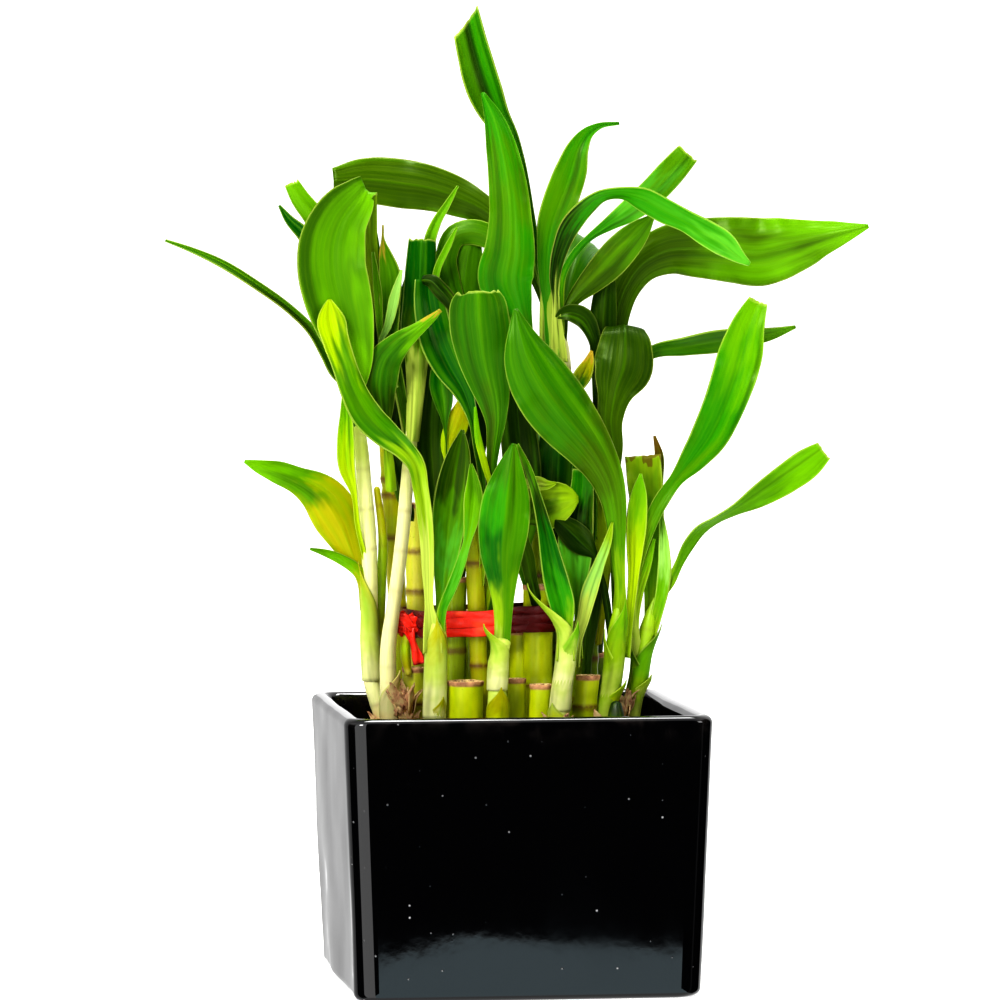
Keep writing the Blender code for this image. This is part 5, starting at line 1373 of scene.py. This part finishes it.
def buildHusk(name, plan):
    (u, w, z), spread, count, length = plan
    dice = random.Random(sum(ord(letter) for letter in name))
    bm = bmesh.new()
    layer = bm.verts.layers.float.new("along")
    for _ in range(count):
        turn = dice.uniform(0, math.tau)
        tall = length * dice.uniform(0.5, 1.0)
        half = dice.uniform(1.1, 2.6)
        foot = Vector((u + math.cos(turn) * spread * 0.55, w + math.sin(turn) * spread * 0.55,
                       z - tall * 0.5 + dice.uniform(-1.5, 1.5)))
        out = Vector((math.cos(turn), math.sin(turn), 0))
        flat = Vector((-math.sin(turn), math.cos(turn), 0))
        curl = dice.uniform(0.2, 1.1)
        swing = dice.uniform(-0.6, 0.6)
        low = None
        for k in range(7):
            t = k / 6
            spot = foot + Vector((0, 0, 1)) * tall * t + out * curl * tall * t * t * 0.6
            spot += flat * swing * tall * t
            width = half * (1 - 0.8 * t ** 2.2) * (0.6 + 0.4 * math.sin(math.pi * min(1.0, t + 0.25)))
            crinkle = 0.5 * math.sin(6 * t + turn)
            row = []
            for s in (-1.0, -0.35, 0.35, 1.0):
                point = spot + flat * width * s + out * (crinkle * abs(s) - 0.3 * width * s * s)
                row.append(bm.verts.new(toWorld(tuple(point))))
                row[-1][layer] = t
            if low:
                for j in range(3):
                    bm.faces.new((low[j], low[j + 1], row[j + 1], row[j]))
            low = row
    thicken(keepPiece(name, meshFrom(name, bm), [huskFinish()]), huskThick)


def huskFinish():
    known = bpy.data.materials.get("dryHusk")
    if known:
        return known
    finish, tree, skin = newFinish("dryHusk")
    place = ownCoordinates(tree)
    streak = grainOf(tree, ownCoordinates(tree, (1.0, 1.0, 0.2)), 900.0, 4.0)
    colour = rampTint(tree, streak, [(0.3, green("scar")), (0.42, green("blush")), (0.55, green("paper"))])
    colour = wash(tree, colour, "scar", readTone(tree, "along"), 0.6, 1.0, 0.0, 0.45)
    feed(tree, skin.inputs["Base Color"], colour)
    skin.inputs["Roughness"].default_value = 0.7
    feed(tree, skin.inputs["Normal"], bumpOf(tree, grainOf(tree, place, 1500.0), 0.0001, 0.5))
    glowThrough(tree, skin, colour, 0.2)
    return finish


for name, plan in huskPlans.items():
    buildHusk(name, plan)
print("husks built:", len(huskPlans))


# red ribbon: three turns of a narrow strap, a knot and a tail
ribbonPlan = {
    "loop": [(-19.6, -12.6, 101), (-14.6, -13.4, 101.2), (-8, -14.6, 101.4), (2, -15.2, 102.4),
             (9.4, -15.6, 102.8), (14, -12, 103), (16.2, -2, 103), (16, 8, 102.6),
             (10, 12.2, 102.2), (-2, 13.6, 101.8), (-14, 15.6, 101.2), (-24.6, 16, 100.6),
             (-29.6, 12.6, 100.4), (-29.4, 6.4, 100.4), (-24.6, -4.6, 100.6)],
    "turns": ((-2.3, 0.05, 2.9), (0.3, 0.35, 3), (2.5, 0.1, 2.5)),    # (rise, stand-off, height)
    "knot": (-28.3, -3.6, 100.4),
    "tail": [(-28.1, -4, 101.5), (-27.4, -5.2, 98.4), (-26.2, -5.8, 95), (-25.2, -6, 92),
             (-24.7, -6, 89.4)],
    "loops": 7, "loopPoints": 22,
    # the strap's bright start is its painted light and its dark rest is its painted shade
    "knotShare": 0.15,      # the knot and tail keep the bright start of the strap's colours
    "thick": 0.22, "red": (236, 44, 20), "deepRed": (72, 0, 3), "brightRed": (250, 84, 44),
}


def closedSmooth(points, count):
    wrapped = points[-2:] + points + points[:2]
    rows, _, _ = smoothRows(wrapped, count * 2)
    start = np.linalg.norm(rows - np.array(points[0]), axis=1).argmin()
    middle = start + count // 2
    end = middle + np.linalg.norm(rows[middle:] - np.array(points[0]), axis=1).argmin()
    return rows[start:end]


def strapRows(centres, outward, rise, stand, height, seed):
    # one wavy turn of the strap, ending where it starts
    rows, along, across = [], [], []
    total = len(centres)
    for i, (centre, out) in enumerate(zip(centres, outward)):
        t = i / total
        row = []
        for s in np.linspace(-1, 1, 9):
            fold = 0.16 * math.sin(3.1 * s + 9 * math.tau * t + seed)
            fold += 0.10 * math.sin(23 * math.tau * t + 4 * s)
            sway = 0.35 * math.sin(2 * math.tau * t + seed) + 0.2 * math.sin(7 * math.tau * t + seed * 2)
            fold += 0.55 * (1 - s * s)
            row.append(centre + out * (stand + fold) + np.array([0, 0, rise + sway * 0.5 + s * height / 2]))
        rows.append(row)
        along.append([t] * 9)
        across.append(list(np.linspace(-1, 1, 9)))
    return rows + rows[:1], along + along[:1], across + across[:1]


def buildBand(plan, finish):
    centres = closedSmooth(plan["loop"], 150)
    ahead = directions(np.vstack([centres[-1:], centres, centres[:1]]))[1:-1]
    outward = np.cross(ahead, [0.0, 0.0, 1.0])
    outward /= np.linalg.norm(outward, axis=1)[:, None]
    joined = bmesh.new()
    for k, (rise, stand, height) in enumerate(plan["turns"]):
        rows, along, across = strapRows(centres, outward, rise, stand, height, k * 1.7)
        joined.from_mesh(bladeMesh("ribbonTurn", rows, along, across))
    bmesh.ops.remove_doubles(joined, verts=joined.verts, dist=0.00002)
    band = keepPiece("ribbonBand", meshFrom("ribbonBand", joined), [finish], "ribbon_band")
    thicken(band, plan["thick"])


def buildKnot(plan, finish):
    # crossed puckered loops, then the tail
    knot = bmesh.new()
    dice = random.Random(5)
    cx, cy, cz = plan["knot"]
    last = plan["loopPoints"] - 1
    for k in range(plan["loops"]):
        tilt = math.radians(-70 + 25 * k)
        reach = dice.uniform(2.0, 3.4)
        wide = dice.uniform(1.0, 1.6)
        start = dice.uniform(0, math.tau)
        centres = []
        for j in range(plan["loopPoints"]):
            a = math.tau * j / last
            centres.append((cx + math.cos(a) * reach * math.cos(tilt) + 0.6 * math.sin(a * 2 + start),
                            cy - 1.0 - 0.9 * math.sin(a) + 0.15 * k,
                            cz + math.cos(a) * reach * math.sin(tilt) * 0.8 + 0.8 * math.sin(a + start)))
        centres = np.array(centres)
        way = directions(centres)
        rows, along, across = [], [], []
        for i, centre in enumerate(centres):
            cross = np.cross(way[i], [0.3, -1.0, 0.2])
            cross /= np.linalg.norm(cross)
            rows.append([centre + cross * wide * s + np.array([0, 0.25 * math.sin(5 * s + i), 0])
                         for s in np.linspace(-1, 1, 7)])
            along.append([plan["knotShare"] * i / last] * 7)
            across.append(list(np.linspace(-1, 1, 7)))
        knot.from_mesh(bladeMesh("loop", rows, along, across))
    tail, share, _ = smoothRows(plan["tail"], 24)
    rows, along, across = [], [], []
    for centre, t in zip(tail, share):
        half = 1.3 + 0.35 * math.sin(9 * t)
        rows.append([centre + np.array([s * half, 0.45 * math.sin(4 * s + 7 * t), 0.3 * s * (t > 0.95)])
                     for s in np.linspace(-1, 1, 9)])
        along.append([plan["knotShare"] * t] * 9)
        across.append(list(np.linspace(-1, 1, 9)))
    knot.from_mesh(bladeMesh("tail", rows, along, across))
    piece = keepPiece("ribbonKnot", meshFrom("ribbonKnot", knot), [finish], "ribbon_knot")
    thicken(piece, plan["thick"])


def ribbonFinish(plan):
    finish, tree, skin = newFinish("redSatin")
    along, across = readTone(tree, "along"), readTone(tree, "across")
    # the bright red on the folds is a painted sheen; the same pattern also sets roughness and bumps
    foldsAndSheen = grainOf(tree, ownCoordinates(tree, (1.0, 1.0, 1.4)), 150.0, 2.0)
    colour = rampTint(tree, foldsAndSheen, [(0.3, tint(*plan["red"])), (0.55, tint(*plan["red"])),
                                    (0.75, tint(*plan["brightRed"]))])
    # painted shade: the strap darkens once it passes the middle of the front
    ribbonShade = fade(tree, along, 0.13, 0.16, 0.0, 0.96)
    colour = blendTint(tree, ribbonShade, colour, tint(*plan["deepRed"]))
    threads = sums(tree, "SINE", times(tree, across, 70.0))
    colour = blendTint(tree, fade(tree, threads, 0.3, 1.0, 0.0, 0.12), colour, tint(*plan["deepRed"]))
    edge = fade(tree, sums(tree, "ABSOLUTE", across), 0.88, 0.96, 0.0, 0.5)
    colour = blendTint(tree, edge, colour, tint(*plan["deepRed"]))
    feed(tree, skin.inputs["Base Color"], colour)
    feed(tree, skin.inputs["Roughness"], fade(tree, foldsAndSheen, 0.3, 0.7, 0.2, 0.34))
    skin.inputs["Specular IOR Level"].default_value = 0.3
    skin.inputs["Sheen Weight"].default_value = 0.04
    fine = bumpOf(tree, threads, 0.00003, 0.5)
    feed(tree, skin.inputs["Normal"], bumpOf(tree, foldsAndSheen, 0.0006, 0.5, fine))
    return finish


satin = ribbonFinish(ribbonPlan)
buildBand(ribbonPlan, satin)
buildKnot(ribbonPlan, satin)
print("ribbon built")


# floor, surroundings and lights
studio = {
    "floorSize": 12.0, "floor": (250, 250, 248), "floorGlow": 0.55,
    "room": 1.04, "dark": 0.006, "window": 2.1, "dim": 0.22, "leftShade": 0.46, "nearShade": 0.40,
    "archLight": 0.6, "archTint": (0.80, 1.0, 1.08, 1.0),
    "bounce": 0.55,         # share of the room's light that falls on the plant
    "archHeight": -0.196, "archCentre": 0.142, "archBend": 3.4,
    # parts of the wall: from and to in degrees towards the pot's left, top, softness of the sides
    "darkPart": (-118.0, 9.0, 0.72, 1.0), "blindPart": (68.0, 116.0, 0.5, 2.0),
    "windowPart": (9.0, 68.0, 0.8, 2.0), "wallFoot": -0.8,
    "stripPart": (-62.0, -54.0, 3.0), "shadePart": (116.0, 179.0, 1.0), "shadeFade": (150.0, 178.0),
}
# lamps: place, height aimed at, size, power
lamps = {
    "topLight": ((0.1, 0.1, 1.4), 0.15, 0.5, 14.0),
    "keyLight": ((-0.75, -1.0, 0.95), 0.16, 0.4, 13.0),
    "fillLight": ((0.9, -0.9, 0.7), 0.16, 0.5, 4.0),
}


def addFloor(plan):
    bm = bmesh.new()
    bmesh.ops.create_grid(bm, x_segments=2, y_segments=2, size=plan["floorSize"] / 2)
    mesh = bpy.data.meshes.new("studioFloor")
    bm.to_mesh(mesh)
    bm.free()
    floor = bpy.data.objects.new("studioFloor", mesh)
    bpy.context.scene.collection.objects.link(floor)
    finish, tree, skin = newFinish("paleFloor")
    soft = grainOf(tree, ownCoordinates(tree), 3.0)
    feed(tree, skin.inputs["Base Color"], blendTint(tree, fade(tree, soft, 0.3, 0.7, 0.0, 0.2),
                                                    tint(*plan["floor"]), tint(255, 255, 255)))
    skin.inputs["Roughness"].default_value = 0.9
    skin.inputs["Specular IOR Level"].default_value = 0.1
    skin.inputs["Emission Color"].default_value = (1.0, 1.0, 1.0, 1.0)
    skin.inputs["Emission Strength"].default_value = plan["floorGlow"]
    mesh.materials.append(finish)
    floor.visible_glossy = False    # the glaze mirrors the room, not the floor


def between(tree, value, low, high, soft):
    return times(tree, fade(tree, value, low - soft, low + soft), fade(tree, value, high + soft, high - soft))


def addRoom(plan):
    world = bpy.data.worlds.new("paleRoom")
    bpy.context.scene.world = world
    world.use_nodes = True
    tree = world.node_tree
    generated = addNode(tree, "ShaderNodeTexCoord").outputs["Generated"]
    x, y, z = addNode(tree, "ShaderNodeSeparateXYZ", {0: generated}).outputs
    # degrees round the room from straight ahead of the pot, towards its left
    radians = sums(tree, "ARCTAN2", times(tree, x, -1.0), times(tree, y, -1.0))
    bearing = times(tree, radians, 180 / math.pi)

    def wallPart(name):
        first, last, top, soft = plan[name]
        upright = between(tree, z, plan["wallFoot"], top, 0.1)
        return times(tree, between(tree, bearing, first, last, soft), upright)

    front, side, window = (wallPart(name) for name in ("darkPart", "blindPart", "windowPart"))
    strip = between(tree, bearing, *plan["stripPart"])
    # the front part is light below an arch
    fromCentre = minus(tree, x, plan["archCentre"])
    arch = minus(tree, plan["archHeight"], times(tree, times(tree, fromCentre, fromCentre), plan["archBend"]))
    below = fade(tree, minus(tree, z, arch), 0.0012, -0.0012)
    shut = times(tree, front, minus(tree, 1.0, below))
    shut = sums(tree, "MAXIMUM", shut, side)
    behind = fade(tree, bearing, *plan["shadeFade"], plan["leftShade"], plan["nearShade"])
    behind = times(tree, behind, between(tree, bearing, *plan["shadePart"]))
    light = minus(tree, plan["room"], behind)
    light = plus(tree, light, times(tree, window, plan["window"] - plan["room"]))
    light = times(tree, light, minus(tree, 1.0, shut))
    gloom = plus(tree, plan["dark"], times(tree, strip, plan["dim"]))
    light = plus(tree, light, times(tree, shut, gloom))
    scattered = addNode(tree, "ShaderNodeLightPath").outputs["Is Diffuse Ray"]
    light = times(tree, light, minus(tree, 1.0, times(tree, scattered, 1.0 - plan["bounce"])))
    backdrop = tree.nodes["Background"]
    low = times(tree, front, below)
    light = times(tree, light, plus(tree, 1.0, times(tree, low, plan["archLight"])))
    feed(tree, backdrop.inputs["Color"], blendTint(tree, low, (1.0, 1.0, 1.0, 1.0), plan["archTint"]))
    feed(tree, backdrop.inputs["Strength"], light)


def addLight(name, plan):
    place, aimHeight, size, power = plan
    data = bpy.data.lights.new(name, "AREA")
    data.shape = "RECTANGLE"
    data.size = size
    data.size_y = size
    data.energy = power
    light = bpy.data.objects.new(name, data)
    light.location = place
    light.rotation_euler = (Vector((0, 0, aimHeight)) - Vector(place)).to_track_quat("-Z", "Y").to_euler()
    bpy.context.scene.collection.objects.link(light)


addFloor(studio)
addRoom(studio)
for name, plan in lamps.items():
    addLight(name, plan)
bpy.context.scene.view_settings.view_transform = "Standard"
bpy.context.scene.view_settings.look = "High Contrast"
print("studio lit")
